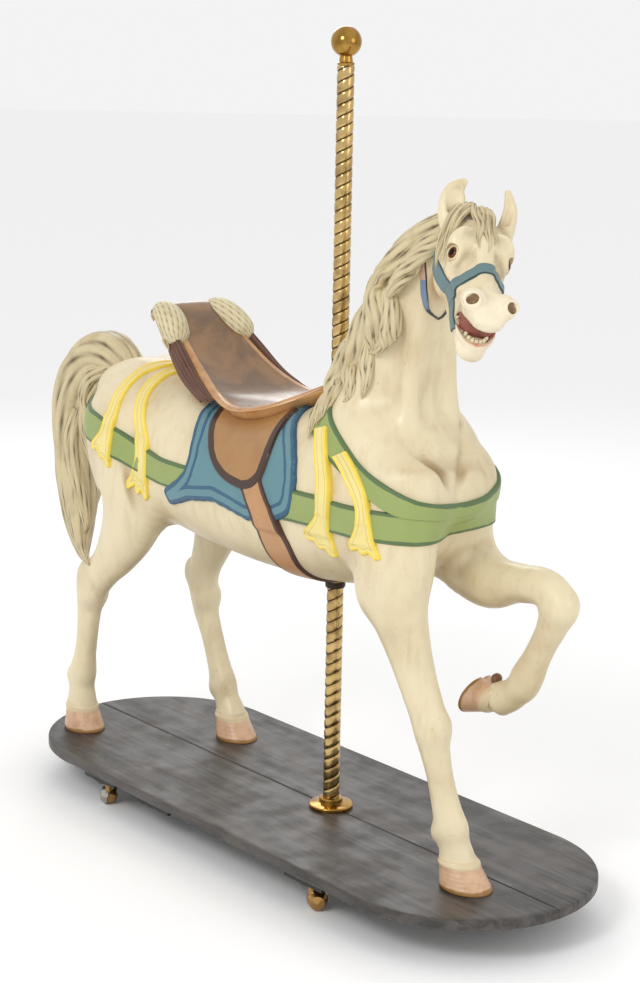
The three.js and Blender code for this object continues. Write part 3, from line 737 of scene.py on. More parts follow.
# ---------------------------------------------------------------- hair
def hair():
    """The mane, the forelock and the tail."""
    mane = Mesh()
    locks = [
        # strands, then rows of x, y, z, half width, half thickness that start on the crest
        (5, [[585, -18, 1500, 22, 16], [530, -42, 1478, 32, 22], [460, -62, 1440, 40, 26], [400, -74, 1392, 44, 27],
             [360, -74, 1340, 42, 25], [345, -78, 1296, 26, 16]]),
        (5, [[560, -60, 1470, 18, 14], [520, -82, 1436, 26, 18], [470, -94, 1390, 32, 20], [430, -98, 1340, 32, 20],
             [402, -96, 1300, 20, 14]]),
        (6, [[350, -60, 1352, 26, 20], [342, -76, 1300, 34, 24], [366, -96, 1250, 36, 24], [374, -108, 1208, 28, 18],
             [360, -112, 1176, 12, 9]]),
        (5, [[400, -88, 1318, 22, 18], [420, -102, 1272, 25, 18], [424, -112, 1230, 24, 17],
             [396, -116, 1196, 18, 13], [366, -118, 1180, 8, 7]]),
        (6, [[312, -48, 1290, 26, 22], [298, -70, 1236, 36, 25], [294, -90, 1180, 38, 25], [284, -106, 1128, 30, 20],
             [296, -122, 1088, 14, 10]]),
        (5, [[286, -42, 1240, 26, 22], [252, -66, 1176, 34, 24], [234, -88, 1120, 34, 22], [226, -112, 1074, 26, 18],
             [262, -142, 1044, 12, 9]]),
        (4, [[352, -100, 1210, 16, 14], [354, -114, 1160, 20, 14], [362, -124, 1116, 15, 11],
             [358, -132, 1076, 6, 5]]),
        (4, [[300, -108, 1140, 18, 14], [312, -124, 1102, 20, 13], [316, -134, 1070, 16, 11],
             [292, -142, 1046, 7, 6]]),
        (6, [[256, -50, 1136, 26, 20], [238, -82, 1098, 32, 20], [240, -122, 1062, 32, 18], [252, -152, 1036, 22, 13],
             [260, -168, 1020, 10, 7]]),
        (5, [[236, -40, 1106, 24, 18], [222, -84, 1080, 28, 18], [226, -128, 1048, 26, 16], [242, -160, 1022, 17, 11],
             [252, -174, 1006, 8, 6]]),
        (4, [[222, -60, 1086, 20, 14], [210, -104, 1058, 22, 15], [214, -142, 1024, 20, 13], [224, -168, 994, 13, 9],
             [228, -180, 968, 6, 5]]),
    ]
    for k, (count, rows) in enumerate(locks):
        bundle(mane, rows, side=(0.5, 0.35, 0.8), count=count, seed=20 + k, twist=1.5 if k % 2 else -1.3, phase=k)
    # the crest and the far side, where the hair lies short and close
    bundle(mane, [[592, -14, 1500, 26, 16], [530, -10, 1484, 32, 20], [462, -8, 1440, 34, 22],
                  [396, -8, 1374, 36, 24], [340, -8, 1296, 38, 26], [290, -8, 1210, 38, 26], [250, -6, 1138, 36, 22],
                  [222, -4, 1098, 24, 14]],
           side=(0, 1, 0), count=7, seed=5, twist=2.0, steps=90, ends=0.0)
    out = [mane.make("mane")]

    lock = Mesh()
    front = [
        [[-12, -26, 22, 13, 10], [-18, 12, 33, 12, 8], [-12, 52, 39, 12, 7], [-19, 88, 36, 9, 5],
         [-14, 116, 31, 2.5, 2.5]],
        [[2, -24, 20, 13, 10], [4, 14, 33, 11, 8], [0, 56, 39, 11, 7], [6, 98, 35, 8, 5], [0, 132, 30, 2.5, 2.5]],
        [[12, -26, 19, 12, 9], [19, 8, 31, 10, 7], [15, 44, 37, 9, 6], [20, 78, 34, 7, 4], [16, 106, 31, 2, 2]],
        [[-14, -28, 20, 12, 9], [-38, -4, 28, 12, 7], [-56, 22, 24, 11, 6], [-66, 52, 10, 10, 6],
         [-72, 84, -16, 8, 5], [-72, 112, -42, 3, 3]],
        [[-24, -30, 16, 11, 8], [-48, -10, 20, 12, 7], [-66, 16, 8, 11, 6], [-76, 48, -14, 10, 6],
         [-80, 80, -42, 7, 5], [-78, 104, -62, 2.5, 2.5]],
    ]
    for k, rows in enumerate(front):
        placed = [list(in_head(r[:3])) + r[3:] for r in rows]
        bundle(lock, placed, side=HEAD_AXES[0], count=3, seed=90 + k, twist=1.4, steps=36, sides=12, ridges=4)
    out.append(lock.make("forelock"))

    tail = Mesh()
    path = [
        [-742, 0, 958, 30, 34], [-778, -2, 1000, 44, 46], [-838, -6, 1020, 56, 54], [-908, -12, 1002, 62, 60],
        [-962, -20, 946, 64, 64], [-990, -28, 866, 62, 62], [-990, -38, 782, 58, 60], [-966, -50, 704, 56, 58],
        [-926, -66, 632, 54, 56], [-880, -90, 572, 48, 50], [-822, -124, 524, 38, 40], [-748, -164, 496, 26, 26],
        [-672, -196, 486, 12, 12],
    ]
    bundle(tail, path, count=9, spread=0.56, twist=2.3, ends=0.1, seed=7, ridges=5, depth=0.14, steps=110, sides=20)
    bundle(tail, [[r[0], r[1], r[2], r[3] * 0.62, r[4] * 0.62] for r in path], count=3, spread=0.3, twist=1.0,
           ends=0.2, seed=8, steps=80, sides=14)
    curls = [
        [[-800, -40, 990, 16, 18], [-868, -52, 962, 20, 22], [-896, -58, 900, 20, 22], [-880, -58, 846, 16, 18],
         [-846, -52, 822, 8, 9]],
        [[-860, -34, 960, 14, 16], [-898, -54, 876, 17, 20], [-890, -60, 800, 18, 20], [-850, -60, 730, 17, 18],
         [-812, -70, 664, 12, 12], [-800, -84, 616, 5, 5]],
        [[-940, -60, 860, 16, 20], [-950, -74, 780, 20, 24], [-916, -84, 690, 22, 24], [-860, -96, 620, 20, 20],
         [-806, -118, 566, 12, 12], [-790, -136, 540, 4, 4]],
        [[-1030, -30, 800, 14, 18], [-1012, -60, 700, 20, 24], [-950, -84, 610, 22, 24], [-900, -108, 548, 18, 18],
         [-862, -126, 506, 8, 8]],
    ]
    for k, rows in enumerate(curls):
        bundle(tail, rows, count=4, seed=110 + k, twist=1.6, steps=44)
    out.append(tail.make("tail"))
    return out


# ---------------------------------------------------------------- shells laid on the skin
RAYS_FROM = 420.0                             # distance at which rays towards the horse start


def cast(field, origins, ways, reach=RAYS_FROM):
    """Where rays first meet the field; a ray that misses stops after its reach."""
    o, w = np.asarray(origins, float), unit(ways)
    t = np.zeros(len(o))
    for _ in range(36):
        t = np.minimum(t + 0.9 * np.maximum(field(o + w * t[:, None]), -2.0), reach)
    return o + w * t[:, None]


def shell(mesh, points, normals, lift, sink=4.0, wrap=False, **att):
    """A closed sheet over a grid of skin points: its outside stands lift proud and its inside
    lies sink below the skin."""
    m, n = points.shape[:2]
    outer = points + normals * lift[..., None]
    inner = points - normals * sink
    v = np.concatenate([outer.reshape(-1, 3), inner.reshape(-1, 3)])
    i, j = np.meshgrid(np.arange(m if wrap else m - 1), np.arange(n - 1), indexing="ij")
    a, b = i * n + j, ((i + 1) % m) * n + j
    top = np.stack([a, b, b + 1, a + 1], -1).reshape(-1, 4)
    low = top[:, ::-1] + m * n
    edge = []
    rows, cols = np.arange(m if wrap else m - 1), np.arange(n - 1)
    rows1 = (rows + 1) % m
    runs = [(rows1 * n, rows * n), (rows * n + n - 1, rows1 * n + n - 1)]
    if not wrap:
        runs += [(cols, cols + 1), ((m - 1) * n + cols + 1, (m - 1) * n + cols)]
    for p, q in runs:
        edge.append(np.stack([p, q, q + m * n, p + m * n], 1))
    both = {k: np.concatenate([np.ravel(x), np.ravel(x)]) for k, x in att.items()}
    mesh.add(v, outward(v, np.concatenate([top, low] + edge)), **both)


def laid(field, origins, ways):
    """Grid of skin points and their normals under a grid of rays.  A ray that only grazes
    the skin stops short, so it is cast twice and its end is settled."""
    shape, way = origins.shape, ways.reshape(-1, 3)
    hit = settle(field, cast(field, cast(field, origins.reshape(-1, 3), way), way), 2)
    return hit.reshape(shape), unit(slope(field, hit)).reshape(shape)


# ---------------------------------------------------------------- straps settled on a skin
def settle(field, p, times=5):
    """Moves points onto the field's skin."""
    for _ in range(times):
        d = field(p)
        g = slope(field, p, d)
        p = p - np.clip(d / np.maximum((g ** 2).sum(1), 0.3), -30, 30)[:, None] * g
    return p


def from_lines(grid, lines, count=None):
    """Distance of each grid point from the nearest of some lines of points."""
    flat, chunk = grid.reshape(-1, 3), 4000
    border = np.concatenate([smooth_rows(e, np.linspace(0, 1, count or 4 * len(e))) for e in lines])
    near = [((flat[k:k + chunk, None] - border) ** 2).sum(2).min(1) for k in range(0, len(flat), chunk)]
    return np.sqrt(np.concatenate(near)).reshape(grid.shape[:2])


def carved_lift(rim, height, bevel=3.5, bead=0.0, bead_at=4.0, bead_wide=2.4):
    """A strap's height over the skin: a rounded shoulder, and a raised bead near the edge."""
    k = np.clip(rim / bevel, 0, 1)
    return height * np.sqrt(np.clip(1 - (1 - k) ** 2, 0, 1)) + bead * np.exp(-((rim - bead_at) / bead_wide) ** 2)


def strap(mesh, field, left, right, height, steps=60, wide=21, ends=(False, True), teeth=0, tooth=0.05, bead=0.0,
          sink=4.0, bevel=3.5, over=None, bead_at=4.0, fade=None):
    """A strap between two edges given as rows of x, y, z; it is pressed onto the field."""
    t, v = np.linspace(0, 1, steps)[:, None], np.linspace(0, 1, wide)[None]
    notch = np.abs(2 * ((v * teeth) % 1) - 1) if teeth else 0 * v
    t = t - tooth * notch * np.clip((t - 0.8) / 0.2, 0, 1)
    a, b = smooth_rows(left, t.ravel()).reshape(*t.shape, 3), smooth_rows(right, t.ravel()).reshape(*t.shape, 3)
    grid = a + (b - a) * v[..., None]
    grid = np.broadcast_to(grid, (steps, wide, 3))
    flat = settle(field, grid.reshape(-1, 3))
    n = unit(slope(field, flat)).reshape(grid.shape)
    grid = flat.reshape(grid.shape)
    rim = from_lines(grid, [grid[:, 0], grid[:, -1]] + [grid[k] for k, end in zip((0, -1), ends) if end])
    lift = carved_lift(rim, height if over is None else over(grid), bevel, bead, bead_at)
    if fade is not None:                      # no painted border where the second edge melts into another strap
        rim = np.where(v > 0.5, rim + fade(grid), rim)
    shell(mesh, grid, n, lift, sink, rim=rim, along=np.broadcast_to(t, rim.shape))


def mirror_rows(rows, s):
    """Rows are written for the near side (negative y); s = FAR turns them over."""
    return [[r[0], -s * r[1], *r[2:]] for r in rows]


# level band round the whole body: x, middle height, half width
BAND_HEIGHTS = [[-820, 900, 40], [-700, 884, 41], [-600, 866, 42], [-540, 854, 42], [-470, 829, 38], [-400, 806, 37],
                [-300, 800, 35], [-150, 798, 36], [0, 800, 38], [210, 810, 40], [350, 811, 40], [430, 812, 37],
                [520, 814, 35], [620, 813, 36]]
BAND_LIFT = 6.0


def band_at(x):
    """Middle height and half width of the level band."""
    rows = np.array(BAND_HEIGHTS, float)
    return np.interp(x, rows[:, 0], rows[:, 1]), np.interp(x, rows[:, 0], rows[:, 2])


def band():
    """Rays start on a long oval round the horse and look at its middle line."""
    n = 420
    x0, x1, reach = -650.0, 430.0, RAYS_FROM
    straight, arc = x1 - x0, np.pi * reach
    total = 2 * straight + 2 * arc
    d = np.arange(n) / n * total
    pts = []
    for s in d:
        if s < straight:
            pts.append((x0 + s, -reach, x0 + s, 0.0))
        elif s < straight + arc:
            a = (s - straight) / reach - np.pi / 2
            pts.append((x1 + reach * math.cos(a), reach * math.sin(a), x1, 0.0))
        elif s < 2 * straight + arc:
            x = x1 - (s - straight - arc)
            pts.append((x, reach, x, 0.0))
        else:
            a = (s - 2 * straight - arc) / reach + np.pi / 2
            pts.append((x0 + reach * math.cos(a), reach * math.sin(a), x0, 0.0))
    pts = np.array(pts)
    where = np.clip(pts[:, 2] + 0.45 * (pts[:, 0] - pts[:, 2]), -820, 620)
    mid, half = (np.convolve(np.concatenate([y[-7:], y, y[:7]]), np.ones(15) / 15, "valid") for y in band_at(where))
    v = np.linspace(-1, 1, 25)
    z = mid[:, None] + half[:, None] * v
    o = np.stack([np.broadcast_to(pts[:, :1], z.shape), np.broadcast_to(pts[:, 1:2], z.shape), z], -1)
    way = np.stack([pts[:, 2] - pts[:, 0], pts[:, 3] - pts[:, 1], 0 * pts[:, 0]], 1)
    way = unit(np.broadcast_to(way[:, None], o.shape))
    hit = cast(body_field, o.reshape(-1, 3), way.reshape(-1, 3)).reshape(o.shape)
    far = ((hit - o) * way).sum(-1)
    for _ in range(3):                        # bridge narrow hollows
        around = np.stack([np.roll(far, k, 0) for k in (-4, -2, 0, 2, 4)]).mean(0)
        far = np.minimum(far, around)
    hit = o + way * far[..., None]
    normal = unit(slope(body_field, hit.reshape(-1, 3))).reshape(hit.shape)
    normal = unit(normal + np.roll(normal, 2, 0) + np.roll(normal, -2, 0) - way)
    rim = np.broadcast_to(half[:, None] * (1 - np.abs(v)), z.shape)
    m = Mesh()
    shell(m, hit, normal, carved_lift(rim, BAND_LIFT), 8.0, wrap=True, rim=rim)
    # the breast collar above it, from the near withers round the chest to the far withers
    upper = [[262, -120, 1052], [295, -163, 1027], [367, -186, 984], [434, -188, 938], [504, -177, 906],
             [557, -149, 882], [577, -114, 871], [572, -60, 862]]
    lower = [[165, -95, 1022], [184, -140, 998], [287, -192, 961], [342, -204, 936], [400, -205, 906],
             [470, -194, 868], [540, -162, 836], [572, -60, 826]]
    upper = upper + [[564, 0, 857]] + mirror_rows(upper[::-1], FAR) + [[228, 44, 1100]]
    lower = lower + [[560, 0, 824]] + mirror_rows(lower[::-1], FAR) + [[146, 40, 1050]]
    strap(m, body_field, upper, lower, 0, steps=150, wide=27, ends=(False, False), sink=8,
          over=lambda g: BAND_LIFT + 1.2 + 2.4 * np.clip((g[..., 0] - 420) / 60, 0, 1),
          fade=lambda g: np.clip((g[..., 0] - 430) / 50, 0, 1) * 30)
    return m.make("breast_band", sharp=50)


def ribbons():
    """Hanging ribbons with notched ends, four on each side."""
    m = Mesh()
    pairs = [
        # left edge rows and right edge rows, top to bottom, near side
        ([[258, -170, 990], [304, -206, 911], [310, -209, 855], [294, -204, 804], [232, -192, 745]],
         [[302, -172, 1003], [337, -203, 944], [360, -210, 876], [348, -203, 779], [347, -173, 702]]),
        ([[352, -202, 946], [394, -206, 911], [424, -207, 875], [443, -207, 840], [440, -209, 798], [405, -202, 748]],
         [[386, -190, 964], [432, -195, 925], [463, -196, 887], [482, -199, 835], [498, -199, 780],
          [522, -200, 736]]),
        ([[-500, -20, 1040], [-544, -87, 1034], [-552, -148, 1004], [-558, -187, 962], [-563, -206, 916],
          [-571, -216, 871], [-618, -217, 825]],
         [[-470, -20, 1038], [-495, -70, 1034], [-518, -128, 1012], [-522, -185, 956], [-521, -208, 896],
          [-521, -221, 824], [-524, -223, 768]]),
        ([[-462, -40, 1034], [-480, -100, 1022], [-488, -150, 984], [-470, -186, 929], [-445, -194, 865],
          [-444, -197, 806], [-486, -214, 735]],
         [[-430, -40, 1028], [-448, -100, 1014], [-446, -154, 974], [-416, -188, 910], [-392, -195, 860],
          [-386, -200, 785], [-397, -186, 702]]),
    ]

    def over(grid):
        mid, half = band_at(grid[..., 0])
        k = np.clip((half + 22 - np.abs(grid[..., 2] - mid)) / 18, 0, 1)
        on_band = k * k * (3 - 2 * k)
        collar = (grid[..., 0] > 0) & (grid[..., 2] > mid)
        return 5.5 + np.where(collar, 8.0, BAND_LIFT * on_band)

    for s in (NEAR, FAR):
        for left, right in pairs:
            # the far shoulder's ribbons hang a little further back
            back = 60 if s == FAR and left[0][0] > 0 else 0
            left, right = ([[r[0] - back, r[1], r[2]] for r in side] for side in (left, right))
            strap(m, body_field, mirror_rows(left, s), mirror_rows(right, s), 0, steps=72, wide=28, teeth=3,
                  tooth=0.055,
                  bead=2.2, bead_at=4.5, sink=5, over=over)
    return m.make("ribbons", sharp=50)


# ---------------------------------------------------------------- saddle cloth, flap, girth
BARREL_AXIS, BARREL_HALF = 830, 208           # height and half width of the horse's barrel


def radial(x, deg, s):
    """Rays towards the barrel's axis; deg is counted up from level, s is the side."""
    a = np.radians(deg)
    o = np.stack([x, s * np.cos(a) * RAYS_FROM, BARREL_AXIS + np.sin(a) * RAYS_FROM], -1)
    return o, np.stack([0 * x, -s * np.cos(a), -np.sin(a)], -1)


def at_height(z):
    """Angle round the barrel where its skin is about z high."""
    return np.degrees(np.arctan2(np.asarray(z, float) - BARREL_AXIS, BARREL_HALF))


def cloth():
    """The blanket's two sides, laid on the barrel by rays towards its axis."""
    m = Mesh()
    u, v = np.linspace(0, 1, 96)[:, None], np.linspace(0, 1, 80)[None]
    rear_v, rear_x = [0, 0.045, 0.09, 0.17, 0.24, 0.32, 0.43, 0.62, 1], [-284, -297, -306, -246, -212, -204, -215,
                                                                         -248, -266]
    front_v, front_x = [0, 0.05, 0.12, 0.25, 0.38, 0.5, 0.65, 1], [190, 205, 213, 217, 205, 178, 130, 60]
    low_u, low_z = [0, 0.2, 0.41, 0.55, 0.69, 0.87, 1], [716, 752, 768, 758, 745, 752, 780]
    even = np.linspace(0, 1, 40)
    ease = lambda a, b, t: smooth_rows(np.interp(even, a, b)[:, None], t.ravel())[:, 0]
    for s in (NEAR, FAR):
        x = ease(rear_v, rear_x, v)[None] * (1 - u) + ease(front_v, front_x, v)[None] * u
        floor = at_height(ease(low_u, low_z, u))[:, None]
        deg = floor + (84 - floor) * v
        o, w = radial(x, deg, s)
        hit, n = laid(body_field, o, w)
        # the upper border is hidden by the saddle, so measure only from the three seen edges
        edge = from_lines(hit, (hit[:, 0], hit[0], hit[-1]), 300)
        lift = carved_lift(edge, 10.0,
                           5.0) - 0.9 * np.exp(-((edge - 13) / 1.6) ** 2) - 0.9 * np.exp(-((edge - 38) / 1.8) ** 2)
        shell(m, hit, n, lift, 5, rim=edge)
    return m.make("saddle_cloth", sharp=55)


def flap_and_girth():
    """The saddle's flap, the girth under the belly and its two buckles."""
    m = Mesh()
    rear = [[-220, -100, 985], [-204, -112, 962], [-182, -150, 928], [-150, -172, 894], [-112, -192, 862],
            [-68, -202, 836], [-18, -208, 822], [30, -210, 817]]
    fore = [[80, -105, 1030], [96, -125, 995], [104, -146, 965], [112, -178, 926], [112, -194, 888], [102, -202, 853],
            [76, -207, 829], [36, -210, 816]]
    for s in (NEAR, FAR):
        strap(m, body_field, mirror_rows(rear, s), mirror_rows(fore, s), 17.0, steps=70, wide=60, ends=(False, False),
              bevel=6, sink=6)
    flap = m.make("saddle_flap", sharp=55)
    g = Mesh()
    rear = [[6, -206, 866], [21, -209, 832], [50, -209, 785], [68, -208, 751], [76, -192, 700], [78, -169, 661],
            [84, -127, 624], [88, -70, 602], [90, 0, 594]]
    fore = [[82, -205, 882], [102, -205, 852], [124, -208, 820], [146, -208, 786], [172, -194, 728], [180, -180, 694],
            [174, -137, 642], [172, -70, 608], [172, 0, 594]]
    rear = rear + mirror_rows(rear[-2::-1], FAR)
    fore = fore + mirror_rows(fore[-2::-1], FAR)

    strap(g, body_field, rear, fore, 0, steps=200, wide=25, ends=(False, False), bevel=4,
          over=lambda grid: 7 + 7.5 * np.clip((grid[..., 2] - 728) / 16, 0, 1))
    girth = g.make("girth", sharp=55)
    b = Mesh()
    for s in (NEAR, FAR):
        at = np.array([[96, -206, 762]], float) * (1, -s, 1)
        p = settle(body_field, at)[0]
        n = unit(slope(body_field, p[None]))[0]
        hang = np.array([0.35, 0, -0.94])
        down = unit(hang - n * (hang @ n))
        side = np.cross(n, down)
        ring(b, p + n * 12.0, side, down, 17, 7.5, 2.4, square=3.5)
        bar(b, p + n * 13.5 - down * 7, p + n * 12.0 + down * 12, 1.9)
    return flap, girth, b.make("girth_buckle")


def ring(mesh, centre, across, up, a, b, thick, square=2.0, sides=12, steps=48, flat=1.0):
    """A closed loop of round bar; square makes it a rounded rectangle."""
    w = np.linspace(0, 2 * np.pi, steps, endpoint=False)
    c, s = np.cos(w), np.sin(w)
    k = (np.abs(c) ** square + np.abs(s) ** square) ** (-1 / square)
    path = centre + np.outer(a * k * c, across) + np.outer(b * k * s, up)
    run = unit(np.roll(path, -1, 0) - np.roll(path, 1, 0))
    out = unit(np.cross(across, up))
    side = np.cross(run, out)
    q = np.linspace(0, 2 * np.pi, sides, endpoint=False)
    pts = path[:, None] + thick * (np.cos(q)[None, :, None] * side[:, None] + flat * np.sin(q)[None, :, None] * out)
    i, j = np.meshgrid(np.arange(steps), np.arange(sides), indexing="ij")
    i1, j1 = (i + 1) % steps, (j + 1) % sides
    quads = np.stack([i * sides + j, i * sides + j1, i1 * sides + j1, i1 * sides + j], -1).reshape(-1, 4)
    v = pts.reshape(-1, 3)
    mesh.add(v, outward(v, quads))


def bar(mesh, a, b, r, sides=10):
    """A round bar with eased ends."""
    a, b = np.asarray(a, float), np.asarray(b, float)
    run = unit(b - a)
    side = unit(np.cross(run, (0.3, 0.5, 0.8)))
    up = np.cross(run, side)
    w = np.linspace(0, 2 * np.pi, sides, endpoint=False)
    circle = np.cos(w)[:, None] * side + np.sin(w)[:, None] * up
    rings = np.stack([a + circle * r * k + run * e for k, e in ((0.6, 0), (1, r * 0.4))] +
                     [b + circle * r * k - run * e for k, e in ((1, r * 0.4), (0.6, 0))])
    v, q, t = closed_tube(rings, a, b)
    mesh.add(v, q, t)


def blob(mesh, centre, radii, axes=None, rows=14, sides=20, square=2.0, **att):
    """A rounded lump."""
    axes = np.eye(3) if axes is None else unit(axes)
    lat = np.linspace(-np.pi / 2, np.pi / 2, rows + 2)[1:-1]
    w = np.linspace(0, 2 * np.pi, sides, endpoint=False)
    d = np.stack([np.cos(lat)[:, None] * np.cos(w), np.cos(lat)[:, None] * np.sin(w), np.sin(lat)[:, None] + 0 * w],
                 -1)
    k = (np.abs(d) ** square).sum(-1, keepdims=True) ** (-1 / square)
    place = lambda x: (x * radii) @ axes + centre
    v, q, t = closed_tube(place(d * k), place(np.array([0, 0, -1.0])), place(np.array([0, 0, 1.0])))
    mesh.add(v, q, t, **att)


# ---------------------------------------------------------------- saddle with its two eagle heads
SADDLE = [  # x, top at the middle, how far the rim stands above it, half width, thickness
    [-516, 1184, -2, 74, 22], [-489, 1200, -4, 86, 56], [-440, 1172, -6, 97, 104], [-360, 1104, 2, 108, 110],
    [-270, 1040, 10, 122, 84], [-180, 998, 14, 144, 58], [-80, 988, 12, 165, 48], [10, 1008, 6, 150, 42],
    [68, 1040, -2, 104, 36], [112, 1066, -4, 62, 28], [138, 1082, -6, 28, 20],
]


def saddle():
    """Rings across the saddle from the cantle to the pommel; rim and fore place its paints."""
    steps, half = 110, 41
    rows = smooth_rows(SADDLE, np.linspace(0, 1, steps))
    u = np.linspace(1, -1, half)
    x, top, rim, w, thick = (rows[:, k:k + 1] for k in range(5))
    shape = np.abs(u) ** 2.2
    over = np.stack([x + 0 * u, w * u, top + rim * shape - 7 * np.clip((np.abs(u) - 0.9) / 0.1, 0, 1) ** 2], -1)
    under = np.stack([x + 0 * u, -w * u * 0.95, top + rim * shape - 16 - (thick - 16) * (1 - u ** 4)], -1)
    edge_a = np.stack([x[:, 0], -w[:, 0] * 1.02, (top + rim)[:, 0] - 12], -1)[:, None]
    edge_b = edge_a * (1, -1, 1)
    rings = np.concatenate([over, edge_a, under, edge_b], 1)
    first, last = rings[0].mean(0) + (-7, 0, 0), rings[-1].mean(0) + (9, 0, 0)
    v, q, t = closed_tube(rings, first, last)
    dist = w * (1 - np.abs(u))
    low = np.full_like(dist, -30.0)
    rimless = np.concatenate([dist, np.full((steps, 1), -5.0), low, np.full((steps, 1), -5.0)], 1).ravel()
    m = Mesh()
    m.add(v, *outward(v, q, t), rim=np.append(rimless, [0, 0]),
          fore=np.append(np.repeat(rows[:, 0], rings.shape[1]), [-520, 146]))
    return m.make("saddle", sharp=60)


def eagles():
    """The two carved eagle heads behind the seat, their feathers, beaks and eyes."""
    head_m, wing, beak, spot = Mesh(), Mesh(), Mesh(), Mesh()
    for k in (NEAR, FAR):
        rows = [[-508, 76 * k, 1180, 18, 15], [-490, 82 * k, 1182, 32, 25], [-460, 88 * k, 1172, 39, 31],
                [-424, 98 * k, 1148, 40, 34], [-396, 108 * k, 1122, 34, 32], [-380, 114 * k, 1106, 22, 24]]
        strand(head_m, rows, sides=60, steps=60, ridges=17, depth=0.045, twist=0.9 * k, tip=0.35, root=0.6)
        for i in range(9):
            a = math.pi * (0.18 + 0.16 * i)
            y, z = math.cos(a), math.sin(a)
            base = np.array([-422.0, (102 + 31 * y) * k, 1142 - 30 * z])
            strand(head_m, [[*base, 6, 5], [*(base + (13, (2 + 4 * y) * k, -10 - 4 * z)), 9, 5],
                            [*(base + (25, (3 + 5 * y) * k, -21 - 5 * z)), 6, 4],
                            [*(base + (33, (4 + 5 * y) * k, -28 - 6 * z)), 1.5, 1.5]],
                   sides=12, steps=16, ridges=3, depth=0.12)
        for i, (dy, dz, size, back) in enumerate([(2, 20, 13, 0), (7, 8, 14, 14), (9, -5, 14, 30), (7, -18, 13, 48),
                                                  (2, -30, 12, 66), (-2, 2, 15, 24), (4, -10, 13, 8)]):
            strand(wing, [[-424 + i * 2, (107 + dy) * k, 1126 + dz, size * 0.7, size],
                          [-352, (120 + dy * 1.1) * k, 1070 + dz * 1.0, size * 0.75, size * 1.1],
                          [-276, (132 + dy) * k, 1022 + dz * 0.7, size * 0.7, size * 0.85],
                          [-220 - back * 0.3, (144 + dy * 0.5) * k, 1002 + dz * 0.4, size * 0.5, size * 0.6],
                          [-172 - back * 0.9, (154 + dy * 0.1) * k, 994 + dz * 0.2, 3, 4]],
                   sides=26, steps=70, ridges=7, depth=0.17, twist=0.5 * k, tip=0.7)
        strand(beak, [[-498, 80 * k, 1180, 22, 17], [-522, 78 * k, 1176, 18, 14], [-538, 77 * k, 1163, 11, 10],
                      [-545, 76 * k, 1147, 3, 4]],
               sides=20, steps=20, tip=0.6, root=0.2)
        blob(spot, np.array([-500, 110 * k, 1180.0]), (5, 3.5, 5), rows=8, sides=12)
    return head_m.make("eagle_heads"), wing.make("eagle_wings"), beak.make("eagle_beaks"), spot.make("eagle_eyes")


# ---------------------------------------------------------------- hooves
def hoof(mesh, top, sole, toe, r_top, r_sole, layers=26, sides=56):
    """r_top and r_sole are half sizes across and toe to heel; the shape is fuller at the toe."""
    top, sole, toe = np.array(top, float), np.array(sole, float), unit(toe)
    w = np.linspace(0, 2 * np.pi, sides, endpoint=False)
    c, s = np.cos(w), np.sin(w)
    heel = np.clip(-c, 0, 1)
    plan = 1 - 0.10 * heel ** 2 - 0.13 * np.exp(-((w - np.pi) / 0.16) ** 2)
    length = np.linalg.norm(sole - top)
    rings, down = [], []
    for t in np.linspace(-0.12, 1, layers):
        centre = top + (sole - top) * t
        k = max(t, 0) ** 1.15
        r = np.array(r_top) * (1 - k) + np.array(r_sole) * k
        coronet = 1.0 + 0.055 * math.exp(-((t - 0.06) / 0.10) ** 2) - 0.5 * max(0, -t)
        foot = 1 - 0.05 * max(0, (t - 0.93) / 0.07) ** 2
        wave = 1 + 0.006 * math.sin(t * 40)
        rings.append(centre + (np.outer(r[1] * c * plan, toe) + np.outer(r[0] * s * plan, (0, 1, 0)))
                     * coronet * foot * wave)
        down.append(np.full(sides, length * (1 - t)))
    for shrink, rise, number in ((0.86, 1.0, -2.0), (0.4, 4.0, -12.0)):       # the hollow sole
        rings.append(sole + (rings[-1] - sole) * shrink - (sole - top) / length * rise)
        down.append(np.full(sides, number))
    v, q, t = closed_tube(np.array(rings), top - (sole - top) / length * 8, sole - (sole - top) / length * 4)
    mesh.add(v, *outward(v, q, t), down=np.append(np.concatenate(down), [length, -12]))


def hooves():
    m = Mesh()
    hoof(m, (-770, -158, 68), (-757, -158, 0.6), AXIS_X, (42, 46), (54, 66))
    hoof(m, (-466, 129, 64), (-440, 129, 0.6), AXIS_X, (42, 46), (54, 66))
    hoof(m, (672, -81, 58), (697, -80, 0.6), AXIS_X, (44, 49), (56, 72))
    hoof(m, (580, 116, 380), (508, 115, 374), (-0.44, 0, -0.90), (40, 44), (54, 60))
    blob(m, np.array([574.0, 116, 424]), (12, 15, 14), rows=10, sides=18, down=-4.0)
    return m.make("hooves", sharp=60)


# ---------------------------------------------------------------- face: eyes, lids, mouth, halter
def head_skin(p):
    """The whole horse's field, asked for in the head's frame."""
    return whole_field(in_head(p))


